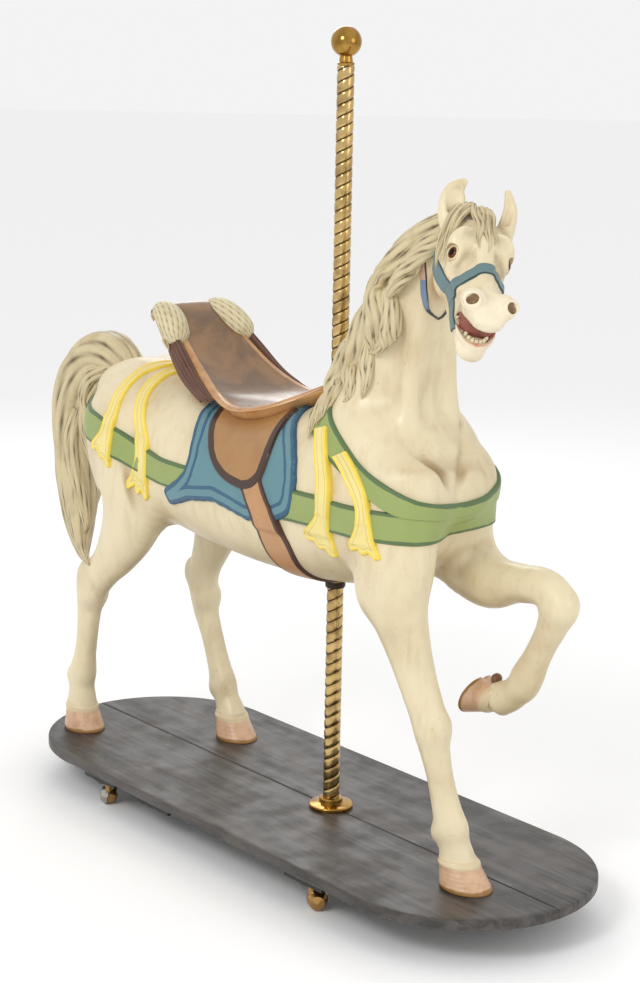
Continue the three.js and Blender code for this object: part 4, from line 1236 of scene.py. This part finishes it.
def eyes():
    out = []
    for name, s in (("eye_near", NEAR), ("eye_far", FAR)):
        m = Mesh()
        at, look = EYE * (s, 1, 1), EYE_LOOK * (s, 1, 1)
        side = unit(np.cross(look, AXIS_X))
        blob(m, at, (EYE_R, EYE_R, EYE_R), axes=[side, np.cross(look, side), look], rows=36, sides=40)
        turn = np.arccos(np.clip(unit(m.v[0] - at) @ look, -1, 1))
        m.att["turn"] = [np.degrees(turn)]
        m.to_horse()
        out.append(m.make(name))
    lids = Mesh()
    for s in (NEAR, FAR):
        at, look = EYE * (s, 1, 1), EYE_LOOK * (s, 1, 1)
        slant = np.array([-0.12 * s, 1, 0.12])
        along = unit(slant - look * (slant @ look))
        up = unit(np.cross(along, look)) * (1 if np.cross(along, look)[2] > 0 else -1)
        ring(lids, at + look * 11.5, along, up, 16.4, 14.2, 3.6, flat=1.3, sides=16, steps=64)
    lids.to_horse()
    out.append(lids.make("eyelids"))
    return out


def mouth_parts():
    """Two rows of nine teeth, the tongue, and the lining behind them."""
    teeth, tongue, lining = Mesh(), Mesh(), Mesh()
    for n_at, reach, front, high, lean in ((-55, 27, 304, 7.5, 0.10), (-13, 28, 302, 7.0, -0.05)):
        for k in range(9):
            q = (k - 4) / 4
            s, d = reach * math.sin(q * 1.25) / math.sin(1.25), front - 27 * q * q
            turn = q * 0.95
            axes = [[math.cos(turn), -math.sin(turn), 0], [math.sin(turn), math.cos(turn), lean], [0, -lean, 1]]
            blob(teeth, np.array([s, d, n_at + (3.0 * q * q if n_at < -20 else 0)]), (4.4, 4.2, high), axes=axes,
                 rows=12, sides=18, square=2.6)
    strand(tongue, [[0, 205, -64, 22, 8], [0, 240, -58, 25, 10], [0, 270, -52, 23, 9], [0, 290, -50, 15, 6]],
           side=AXIS_X, sides=24, steps=30, tip=0.5, root=0.5)
    strand(lining, [[0, 196, -52, 26, 22], [0, 226, -46, 36, 27], [0, 252, -43, 39, 29], [0, 272, -43, 40, 26],
                    [0, 291, -45, 35, 20]], side=AXIS_X, sides=32, steps=30, tip=0.25, root=0.5)
    blob(lining, np.array([31.0, 274, -58]), (6, 15, 10), rows=12, sides=20)
    for m in (teeth, tongue, lining):
        m.to_horse()
    return teeth.make("teeth"), tongue.make("tongue"), lining.make("mouth_lining")


def halter():
    """Rows are in the head's frame: side (negative is near), down the face, out, half width."""
    m = Mesh()

    def band_on_head(mesh, rows, height=3.4, steps=60, ends=(False, False)):
        p = smooth_rows(rows, np.linspace(0, 1, 22))
        c = settle(head_skin, p[:, :3])
        c[1:-1] = 0.25 * c[:-2] + 0.5 * c[1:-1] + 0.25 * c[2:]
        n = unit(slope(head_skin, c))
        n[1:-1] = unit(n[:-2] + n[1:-1] + n[2:])
        run = unit(np.gradient(c, axis=0))
        side = unit(np.cross(run, n)) * p[:, 3:4]
        strap(mesh, head_skin, c - side, c + side, height, steps=steps, wide=15, ends=ends, bevel=2.2, sink=4)

    throat = Mesh()
    for k in (NEAR, FAR):
        band_on_head(m, [[70 * k, 12, -90, 13], [67 * k, 52, -84, 16], [57 * k, 108, -72, 19], [48 * k, 166, -64, 20],
                         [43 * k, 208, -74, 19], [37 * k, 252, -86, 16]], steps=90, ends=(False, True))
        band_on_head(throat, [[80 * k, -8, -104, 8], [79 * k, 10, -130, 9], [66 * k, 34, -158, 9],
                              [52 * k, 54, -190, 8], [37 * k, 71, -215, 5], [18 * k, 68, -232, 2.6],
                              [0, 64, -244, 2.4]], steps=90, height=4.0)
    band_on_head(m, [[47, 166, -74, 14], [52, 162, -44, 14], [50, 160, -18, 14], [36, 162, 8, 14], [17, 165, 24, 14],
                     [0, 167, 28, 14], [-17, 169, 25, 14.5], [-36, 174, 9, 15], [-49, 180, -18, 15],
                     [-51, 182, -44, 15], [-47, 180, -74, 14]], steps=120, height=4.4)
    m.to_horse()
    throat.to_horse()
    return m.make("halter", sharp=50), throat.make("throat_strap", sharp=50)


# ---------------------------------------------------------------- pole and stand
def turned_size(node):
    """Radius, bottom and top of a turned CAD node, in metres."""
    lo, hi = (np.array(c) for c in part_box(node))
    return float(hi[0] - lo[0]) / 2, float(lo[2]), float(hi[2])


def revolve(name, profile, sharp=40):
    """A part turned about the pole's axis: profile rows of radius and height, in metres."""
    w = np.linspace(0, 2 * np.pi, 72, endpoint=False)
    rings = np.array([np.stack([POLE_X + r * np.cos(w), r * np.sin(w), 0 * w + z], 1) for r, z in profile])
    v, q, t = closed_tube(rings, rings[0].mean(0), rings[-1].mean(0))
    return mesh_object(name, v, outward(v, q, t), flat_metres=True, sharp=sharp)


def pole_parts():
    out = {}
    radius, low, top = turned_size("pole")
    z = np.linspace(low, top, int((top - low) / 0.0036))[:, None]
    sides = 40
    w = np.linspace(0, 2 * np.pi, sides, endpoint=False)[None]
    lead, starts = 0.054, 2
    turn = starts * (w - 2 * np.pi * z / lead) / 2
    groove = np.exp(-(np.cos(turn) / 0.34) ** 2)
    r = radius * (1 - 0.10 * groove + 0.008 * np.cos(2 * turn))
    r = np.minimum(r, radius * 0.999)
    rings = np.stack([POLE_X + r * np.cos(w), r * np.sin(w), z + 0 * w], -1)
    v, q, t = closed_tube(rings, np.array([POLE_X, 0, low]), np.array([POLE_X, 0, top]))
    out["pole"] = mesh_object("twisted_pole", v, outward(v, q, t), {"groove": np.append(groove.ravel(), [0, 0])},
                              flat_metres=True)

    ball, low, top = turned_size("finial")
    c = top - ball
    neck = [(0.35 * ball, low), (0.52 * ball, low + 0.0005), (0.56 * ball, low + 0.003), (0.56 * ball, low + 0.007),
            (0.46 * ball, low + 0.009)]
    start = math.asin(min(0.95, (c - low - 0.010) / ball)) if c - low - 0.010 < ball else math.pi / 2 - 0.4
    arc = [(ball * math.cos(a), c + ball * math.sin(a)) for a in np.linspace(-min(start, 1.15), math.pi / 2 - 0.03,
                                                                             40)]
    out["finial"] = revolve("finial_ball", neck + arc)

    r, a, b = turned_size("pole_flange")
    h = b - a
    prof = [(0.2 * r, a), (0.99 * r, a), (r, a + 0.06 * h), (r, a + 0.30 * h), (0.965 * r, a + 0.40 * h),
            (0.90 * r, a + 0.43 * h),
            (0.62 * r, a + 0.47 * h), (0.55 * r, a + 0.52 * h), (0.53 * r, a + 0.90 * h), (0.49 * r, b), (0.3 * r, b)]
    out["pole_flange"] = revolve("floor_flange", prof, sharp=30)

    r, a, b = turned_size("belly_collar")
    prof = [(0.6 * r, a), (0.93 * r, a), (r, a + 0.004), (r, b - 0.004), (0.95 * r, b), (0.6 * r, b)]
    out["belly_collar"] = revolve("belly_ring", prof, sharp=30)
    return out


def plank(name, s):
    """Half of the deck: a half stadium with eased edges."""
    lo, hi = (np.array(c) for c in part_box(name))
    wide = max(abs(float(lo[1])), abs(float(hi[1])))
    x0, x1 = float(lo[0]) + wide, float(hi[0]) - wide
    bottom, top = float(lo[2]), float(hi[2])
    gap = 0.0006

    def outline(inset):
        r = wide - inset
        a = np.linspace(0, np.pi / 2, 40)
        first = np.stack([x1 + r * np.cos(a), r * np.sin(a)], 1)
        straight = np.stack([np.linspace(x1, x0, 42)[1:-1], np.full(40, r)], 1)
        second = np.stack([x0 - r * np.sin(a), r * np.cos(a)], 1)
        seam = np.stack([np.linspace(x0 - r, x1 + r, 60), np.full(60, gap + inset * 0.6)], 1)
        pts = np.concatenate([first, straight, second, seam])
        pts[:, 1] = np.maximum(pts[:, 1], gap + inset * 0.6) * s
        return pts

    layers = [(0.003, bottom), (0.0, bottom + 0.003), (0.0, top - 0.0045), (0.0013, top - 0.0013), (0.0045, top),
              (0.02, top), (0.06, top)]
    rings = np.array([np.concatenate([outline(i), np.full((len(outline(i)), 1), z)], 1) for i, z in layers])
    mid = (x0 + x1) / 2
    v, q, t = closed_tube(rings, np.array([mid, s * wide * 0.4, bottom]), np.array([mid, s * wide * 0.4, top]))
    return mesh_object(name + "_board", v, outward(v, q, t), flat_metres=True, sharp=35)


# ---------------------------------------------------------------- paint and metal
def rgb(r, g, b):
    """Colour picked on the photograph, as the shader wants it."""
    return tuple((c / 255 / 12.92 if c <= 10 else ((c / 255 + 0.055) / 1.055) ** 2.4) for c in (r, g, b)) + (1.0,)


class Paint:
    """Small builder round one material's nodes."""

    def __init__(self, name, rough=0.4, metal=0.0, specular=0.5, coat=0.0, coat_rough=0.1):
        self.m = bpy.data.materials.new(name)
        self.m.use_nodes = True
        self.t = self.m.node_tree
        self.b = self.t.nodes["Principled BSDF"]
        for key, value in (("Roughness", rough), ("Metallic", metal), ("Specular IOR Level", specular),
                           ("Coat Weight", coat), ("Coat Roughness", coat_rough)):
            self.b.inputs[key].default_value = value
        self.m.diffuse_color = (0.7, 0.6, 0.45, 1)

    def put(self, socket, value):
        if isinstance(value, (int, float, tuple)):
            socket.default_value = value
        else:
            self.t.links.new(value, socket)

    def number(self, name):
        n = self.t.nodes.new("ShaderNodeAttribute")
        n.attribute_name = name
        return n.outputs["Fac"]

    def noise(self, scale, detail=3.0, stretch=(1, 1, 1), rough=0.55, twist=0.0):
        v = self.t.nodes.new("ShaderNodeVectorMath")
        v.operation = "MULTIPLY"
        self.t.links.new(self.t.nodes.new("ShaderNodeTexCoord").outputs["Object"], v.inputs[0])
        v.inputs[1].default_value = stretch
        n = self.t.nodes.new("ShaderNodeTexNoise")
        for key, value in (("Scale", scale), ("Detail", detail), ("Roughness", rough), ("Distortion", twist)):
            n.inputs[key].default_value = value
        self.t.links.new(v.outputs[0], n.inputs["Vector"])
        return n.outputs["Fac"]

    def ramp(self, x, a, b, lo=0.0, hi=1.0):
        """lo below a, hi above b, and smooth between."""
        n = self.t.nodes.new("ShaderNodeMapRange")
        n.interpolation_type = "SMOOTHSTEP"
        for key, value in (("From Min", a), ("From Max", b), ("To Min", lo), ("To Max", hi)):
            n.inputs[key].default_value = value
        self.put(n.inputs["Value"], x)
        return n.outputs["Result"]

    def math(self, op, a, b=0.0, clamp=False):
        n = self.t.nodes.new("ShaderNodeMath")
        n.operation, n.use_clamp = op, clamp
        self.put(n.inputs[0], a)
        self.put(n.inputs[1], b)
        return n.outputs[0]

    def mix(self, f, a, b):
        n = self.t.nodes.new("ShaderNodeMix")
        n.data_type = "RGBA"
        self.put(n.inputs[0], f)
        self.put(n.inputs[6], a)
        self.put(n.inputs[7], b)
        return n.outputs[2]

    def bump(self, height, distance, strength=1.0):
        n = self.t.nodes.new("ShaderNodeBump")
        n.inputs["Distance"].default_value = distance
        n.inputs["Strength"].default_value = strength
        self.put(n.inputs["Height"], height)
        self.t.links.new(n.outputs["Normal"], self.b.inputs["Normal"])

    def lay_tone(self, c, name, a, b, amount, tone):
        """Lays a tone over the colour c where a number on the mesh is high: used for painted shade in hollows, brown
        wash in creases and the muzzle's lighter paint.
        """
        return self.mix(self.math("MULTIPLY", self.ramp(self.number(name), a, b), amount), c, tone)

    def colour(self, c):
        self.put(self.b.inputs["Base Color"], c)

    def done(self, rough=None):
        if rough is not None:
            self.put(self.b.inputs["Roughness"], rough)
        return self.m

    def aged(self, c, wash, amount=0.25, scale=9.0):
        """Blotchy thin brown wash, little specks and worn streaks over a paint colour."""
        big = self.ramp(self.noise(scale, 4), 0.42, 0.75)
        streak = self.ramp(self.noise(22, 4, (1.4, 1.4, 0.35)), 0.48, 0.78)
        speck = self.ramp(self.noise(160, 2), 0.69, 0.75)
        f = self.math("ADD", self.math("MULTIPLY", big, amount), self.math("MULTIPLY", streak, amount * 0.6))
        f = self.math("ADD", f, self.math("MULTIPLY", speck, amount * 1.2), clamp=True)
        return self.mix(f, c, wash)


def ivory_paint(name, face=False):
    p = Paint(name, specular=0.5)
    c = p.aged(rgb(223, 209, 174), rgb(172, 144, 98), 0.42, 5.0)
    # painted shade in hollows a few centimetres across
    c = p.lay_tone(c, "broad", 0.14, 0.68, 0.36 if face else 0.85, rgb(160, 130, 82))
    # brown wash and painted shade in the creases
    c = p.lay_tone(c, "crease", 0.16, 0.85, 0.85, rgb(120, 94, 58))
    # brown wash and painted shade in the finest creases
    c = p.lay_tone(c, "fine", 0.3, 0.9, 0.8, rgb(74, 54, 32))
    # painted shade in wide hollows, such as between the legs and under the belly
    c = p.lay_tone(c, "vast", 0.12, 0.75, 0.3 if face else 0.7, rgb(150, 120, 76))
    # painted shade on skin that faces down
    c = p.lay_tone(c, "under", 0.1, 0.95, 0.36, rgb(168, 140, 94))
    if face:
        c = p.lay_tone(c, "blush", 0.0, 1.0, 0.45, rgb(246, 236, 214))
        # painted shade inside the nostrils
        c = p.mix(p.ramp(p.number("hole"), 0.35, 0.95), c, rgb(138, 110, 74))
        mouth = p.ramp(p.number("mouth"), 0.1, 0.9)
        # the mouth's red paint, darkened towards the back as painted shade
        red = p.mix(p.ramp(p.number("deep"), 0.0, 1.0), rgb(214, 142, 118), rgb(96, 28, 22))
        c = p.mix(mouth, c, red)
    p.colour(c)
    p.bump(p.noise(55, 5), 0.0006, 0.5)
    return p.done(p.ramp(p.noise(14, 3), 0.3, 0.7, 0.30, 0.46))


def hair_paint():
    p = Paint("hair_paint", specular=0.45)
    c = p.aged(rgb(206, 191, 152), rgb(154, 130, 90), 0.42, 12)
    # brown wash and painted shade in the scores of the hair
    p.colour(p.lay_tone(c, "crease", 0.12, 0.85, 0.95, rgb(84, 64, 38)))
    p.bump(p.noise(90, 4), 0.0005, 0.4)
    return p.done(0.44)


def bordered(name, inside, border, width, wash, lines=(), line=None, rough=0.42):
    """Paint with a border of another colour; lines are (distance, half width) pairs."""
    age, soft = 0.2, 0.7
    p = Paint(name, specular=0.45)
    rim = p.number("rim")
    c = p.aged(inside, wash, age, 14)
    d = p.aged(border, tuple(x * 0.6 for x in border[:3]) + (1.0,), age, 20)
    wobble = p.math("ADD", rim, p.ramp(p.noise(30, 2), 0.2, 0.8, -0.8, 0.8))
    c = p.mix(p.ramp(wobble, width - soft, width + soft, 1.0, 0.0), c, d)
    for at, half in lines:
        away = p.math("ABSOLUTE", p.math("SUBTRACT", wobble, at))
        c = p.mix(p.ramp(away, half - 0.5, half + 0.5, 1.0, 0.0), c, line)
    p.colour(c)
    p.bump(p.noise(60, 4), 0.0005, 0.5)
    return p.done(rough)


def saddle_paint():
    p = Paint("saddle_paint", specular=0.5, coat=0.5, coat_rough=0.16)
    seat = p.mix(p.ramp(p.noise(9, 5, (1, 1, 1), 0.6, 0.6), 0.34, 0.66), rgb(100, 70, 38), rgb(138, 100, 58))
    seat = p.mix(p.ramp(p.noise(30, 3, (0.5, 2, 1)), 0.6, 0.75, 0, 0.35), seat, rgb(74, 46, 26))
    band = p.mix(p.ramp(p.noise(20, 3), 0.35, 0.7), rgb(196, 146, 92), rgb(168, 120, 72))
    side = p.mix(p.ramp(p.noise(12, 4), 0.35, 0.7), rgb(212, 166, 112), rgb(192, 142, 90))
    rim = p.number("rim")
    c = p.mix(p.ramp(rim, 17.0, 22.0), band, seat)
    c = p.mix(p.ramp(rim, -2.0, -5.0), c, side)
    line = p.math("ABSOLUTE", p.math("SUBTRACT", rim, 21.0))
    c = p.mix(p.ramp(line, 0.6, 3.0, 0.4, 0.0), c, rgb(104, 64, 34))
    c = p.mix(p.ramp(p.number("fore"), 118.0, 130.0), c, rgb(66, 36, 24))
    p.colour(c)
    p.bump(p.noise(40, 4), 0.0006, 0.5)
    return p.done(p.ramp(p.noise(18, 3), 0.3, 0.7, 0.26, 0.42))


def grooved(name, top, groove):
    """Paint on scored wood: the scores are darker, a brown wash with painted shade."""
    p = Paint(name, specular=0.4)
    c = p.aged(top, groove, 0.25, 30)
    # brown wash and painted shade in the scores
    p.colour(p.lay_tone(c, "crease", 0.12, 0.8, 0.92, groove))
    return p.done(0.5)


def hoof_paint():
    p = Paint("hoof_paint", specular=0.5)
    down = p.number("down")
    c = p.aged(rgb(216, 178, 144), rgb(160, 112, 74), 0.4, 22)
    streak = p.ramp(p.noise(46, 3, (1, 1, 0.2)), 0.5, 0.72)
    c = p.mix(p.math("MULTIPLY", streak, 0.35), c, rgb(176, 128, 88))
    wobble = p.math("ADD", down, p.ramp(p.noise(26, 2), 0.2, 0.8, -3.0, 3.0))
    c = p.mix(p.ramp(wobble, 8.0, 12.0, 1.0, 0.0), c, rgb(150, 108, 52))
    c = p.mix(p.ramp(down, 50.0, 60.0), c, rgb(214, 196, 158))
    c = p.mix(p.ramp(down, 1.0, -1.0), c, rgb(112, 76, 46))
    p.colour(c)
    return p.done(0.34)


def plain(name, colour, rough, metal=0.0, wear=None, amount=0.0, scale=20):
    p = Paint(name, rough, metal)
    p.colour(p.aged(colour, wear, amount, scale) if wear else colour)
    return p.done()


def brass(name, tone=(186, 146, 76), rough=0.22, groove=False):
    p = Paint(name, rough, 1.0)
    c = p.mix(p.ramp(p.noise(26, 4), 0.42, 0.72, 0, 0.55), rgb(*tone), rgb(92, 62, 26))
    if groove:
        c = p.mix(p.ramp(p.number("groove"), 0.25, 0.9), c, rgb(52, 34, 16))
    p.colour(c)
    return p.done(p.ramp(p.noise(34, 3), 0.3, 0.7, rough * 0.8, rough * 1.5))


def throat_paint():
    """Pinkish leather at the top, steel blue below it, and a thin dark line under the jaw."""
    p = Paint("throat_paint", 0.4)
    along = p.number("along")
    c = p.mix(p.ramp(along, 0.36, 0.365), p.aged(rgb(196, 162, 138), rgb(150, 112, 90), 0.4),
              p.aged(rgb(110, 134, 160), rgb(70, 90, 116), 0.3))
    c = p.mix(p.ramp(along, 0.66, 0.70), c, rgb(46, 52, 58))
    c = p.mix(p.ramp(p.number("rim"), 1.2, 2.2, 1.0, 0.0), c, rgb(56, 56, 60))
    p.colour(c)
    return p.done()


def eye_glass():
    p = Paint("eye_glass", 0.12, specular=0.12, coat=0.08, coat_rough=0.03)
    turn = p.number("turn")
    c = p.mix(p.ramp(turn, 23.0, 27.0), rgb(6, 5, 5), p.mix(p.ramp(p.noise(180, 3), 0.3, 0.7), rgb(120, 62, 24),
                                                            rgb(74, 34, 14)))
    c = p.mix(p.ramp(turn, 45.0, 51.0), c, rgb(26, 12, 8))
    p.colour(c)
    return p.done()


def deck_wood(name, tone, light):
    p = Paint(name, specular=0.5)
    grain = p.noise(9, 6, (0.35, 4.5, 4.5), 0.6, 0.5)
    c = p.mix(p.ramp(grain, 0.36, 0.66), rgb(*[int(x * 0.62) for x in tone]), rgb(*tone))
    dust = p.ramp(p.noise(5, 6, (1, 1.6, 1), 0.65, 0.8), 0.52, 0.74, 0, 0.24)
    c = p.mix(dust, c, rgb(*light))
    scratch = p.ramp(p.noise(38, 3, (0.5, 3.2, 1), 0.6, 1.5), 0.69, 0.76, 0, 0.5)
    c = p.mix(scratch, c, rgb(150, 138, 122))
    p.colour(c)
    p.bump(grain, 0.0012, 0.5)
    return p.done(p.ramp(p.noise(12, 4), 0.3, 0.7, 0.34, 0.55))


# ---------------------------------------------------------------- put everything together
def dress(ob, material, node="horse"):
    """Paints a piece that stands in for a CAD node and rides on the stand's body."""
    ob.data.materials.append(material)
    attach(ob, "stand")
    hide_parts(node)


def keep(node, material):
    """Better paint on a CAD node that stays."""
    ob = frame["nodes"][node]
    for s in ob.material_slots:
        s.material = material
    if not ob.material_slots:
        ob.data.materials.append(material)


mane, forelock, tail = hair()
HAIR, COAT = hair_paint(), ivory_paint("ivory_paint")
dress(body, COAT)
dress(head, ivory_paint("face_paint", face=True))
for ob in (mane, forelock, tail):
    dress(ob, HAIR)
GREEN = bordered("green_strap", rgb(146, 160, 94), rgb(86, 110, 70), 9.5, wash=rgb(128, 144, 84))
dress(band(), GREEN)
YELLOW = bordered("ribbon", rgb(232, 216, 142), rgb(240, 212, 84), 8.0, lines=((13.5, 0.9),), line=rgb(208, 178, 84),
                  wash=rgb(190, 160, 80))
dress(ribbons(), YELLOW)
BLUE = bordered("saddle_cloth", rgb(94, 134, 142), rgb(50, 90, 116), 13.5, lines=((34.0, 4.6),),
                line=rgb(52, 90, 118), wash=rgb(76, 108, 124))
dress(cloth(), BLUE)
flap, girth, buckle = flap_and_girth()
TAN = bordered("flap_leather", rgb(166, 124, 76), rgb(66, 44, 34), 23.0, wash=rgb(120, 78, 48), rough=0.36)
STRAP = bordered("girth_leather", rgb(186, 140, 96), rgb(78, 50, 38), 11.5, wash=rgb(130, 88, 58), rough=0.38)
dress(flap, TAN)
dress(girth, STRAP)
dress(buckle, brass("buckle_brass"))
dress(saddle(), saddle_paint())
eagle_head, eagle_wing, eagle_beak, eagle_spot = eagles()
dress(eagle_head, grooved("eagle_cream", rgb(212, 200, 162), rgb(140, 120, 82)))
dress(eagle_wing, grooved("eagle_brown", rgb(104, 70, 54), rgb(44, 26, 20)))
dress(eagle_beak, plain("eagle_beak", rgb(198, 176, 132), 0.4, wear=rgb(130, 100, 60), amount=0.5))
dress(eagle_spot, plain("eagle_eye", rgb(38, 24, 18), 0.3))
dress(hooves(), hoof_paint())
eye_near, eye_far, lids = eyes()
GLASS = eye_glass()
dress(eye_near, GLASS, "glass_eye_near")
dress(eye_far, GLASS, "glass_eye_far")
dress(lids, grooved("lid_paint", rgb(216, 198, 156), rgb(120, 92, 56)))
teeth, tongue, lining = mouth_parts()
dress(lining, plain("mouth_red", rgb(134, 72, 58), 0.5, wear=rgb(66, 28, 24), amount=0.6))
dress(teeth, plain("tooth", rgb(232, 222, 190), 0.3, wear=rgb(150, 118, 76), amount=0.4, scale=60))
dress(tongue, plain("tongue", rgb(168, 98, 82), 0.4, wear=rgb(110, 54, 44), amount=0.5))
straps, throat = halter()
dress(straps, bordered("halter_blue", rgb(98, 122, 124), rgb(52, 72, 80), 1.8, wash=rgb(76, 94, 94)))
dress(throat, throat_paint())
turned = pole_parts()
dress(turned["pole"], brass("pole_brass", (206, 176, 118), groove=True, rough=0.2), "pole")
dress(turned["finial"], brass("finial_brass", (176, 136, 66), 0.1), "finial")
dress(turned["pole_flange"], brass("flange_brass", (190, 146, 70), 0.16), "pole_flange")
dress(turned["belly_collar"], plain("collar_dark", rgb(52, 44, 36), 0.4, 0.7), "belly_collar")
# the planks' tone and dust are lighter than the dark wood of the cleats: painted sheen
WOOD = deck_wood("deck_wood", (82, 76, 72), (124, 116, 106))
dress(plank("deck_plank_near", NEAR), WOOD, "deck_plank_near")
dress(plank("deck_plank_far", FAR), WOOD, "deck_plank_far")
CLEAT = deck_wood("cleat_wood", (28, 24, 22), (50, 42, 36))
for place in ("rear", "middle", "front"):
    keep("cleat_" + place, CLEAT)
CASTER = {"hood": brass("hood_brass", (178, 138, 84), 0.25),
          "wheel": plain("wheel_nickel", rgb(176, 170, 158), 0.28, 1.0),
          "plate": plain("plate_steel", rgb(92, 88, 82), 0.4, 1.0)}
for corner in ("rear_near", "rear_far", "front_near", "front_far"):
    for piece, metal in CASTER.items():
        keep(f"caster_{piece}_{corner}", metal)


# ---------------------------------------------------------------- camera and light
CAMERA_AT = np.array([3.890, -3.160, 1.857])  # metres from the deck's centre
CAMERA_AIM = np.array([0.190, -0.110, 0.829])
CAMERA_ROLL, CAMERA_LENS = 1.07, 76.24        # degrees, millimetres


def camera():
    cam = bpy.data.cameras.new("camera")
    cam.sensor_width, cam.lens = 36.0, CAMERA_LENS
    cam.clip_end = 60
    ob = bpy.data.objects.new("camera", cam)
    bpy.context.scene.collection.objects.link(ob)
    look = unit(CAMERA_AIM - CAMERA_AT)
    right = unit(np.cross(look, AXIS_Z))
    up = np.cross(right, look)
    roll = math.radians(CAMERA_ROLL)
    right, up = math.cos(roll) * right + math.sin(roll) * up, -math.sin(roll) * right + math.cos(roll) * up
    rows = np.stack([right, up, -look, CAMERA_AT + ORIGIN], 1)
    ob.matrix_world = Matrix([*rows.tolist(), [0, 0, 0, 1]])
    bpy.context.scene.camera = ob


def area_light(name, at, target, size, power):
    light = bpy.data.lights.new(name, "AREA")
    light.shape, light.size, light.energy = "DISK", size, power
    ob = bpy.data.objects.new(name, light)
    ob.location = at
    ob.rotation_euler = (Vector(target) - Vector(at)).to_track_quat("-Z", "Y").to_euler()
    bpy.context.scene.collection.objects.link(ob)


camera()
area_light("key", (1.6, -4.6, 4.2), (0, 0, 0.9), 1.8, 92)
area_light("fill", (5.2, 1.2, 2.6), (0.3, 0, 1.0), 2.6, 26)
area_light("rim", (-4.0, 2.8, 3.6), (0, 0, 1.1), 2.2, 36)
world = bpy.data.worlds.new("studio")
bpy.context.scene.world = world
world.use_nodes = True
sky = world.node_tree.nodes["Background"]
sky.inputs["Color"].default_value = (1, 1, 1, 1)
sky.inputs["Strength"].default_value = 0.9
bpy.context.scene.view_settings.view_transform = "Standard"
floor_z, wide = float(CAD_BOX[0][2]), 60
corners = [(-wide, -wide, floor_z), (wide, -wide, floor_z), (wide, wide, floor_z), (-wide, wide, floor_z)]
floor = mesh_object("floor", corners, [np.array([[0, 1, 2, 3]])], flat_metres=True)
white = Paint("white_sweep", 0.9, specular=0.1)
white.colour((0.97, 0.97, 0.97, 1))
floor.data.materials.append(white.done())
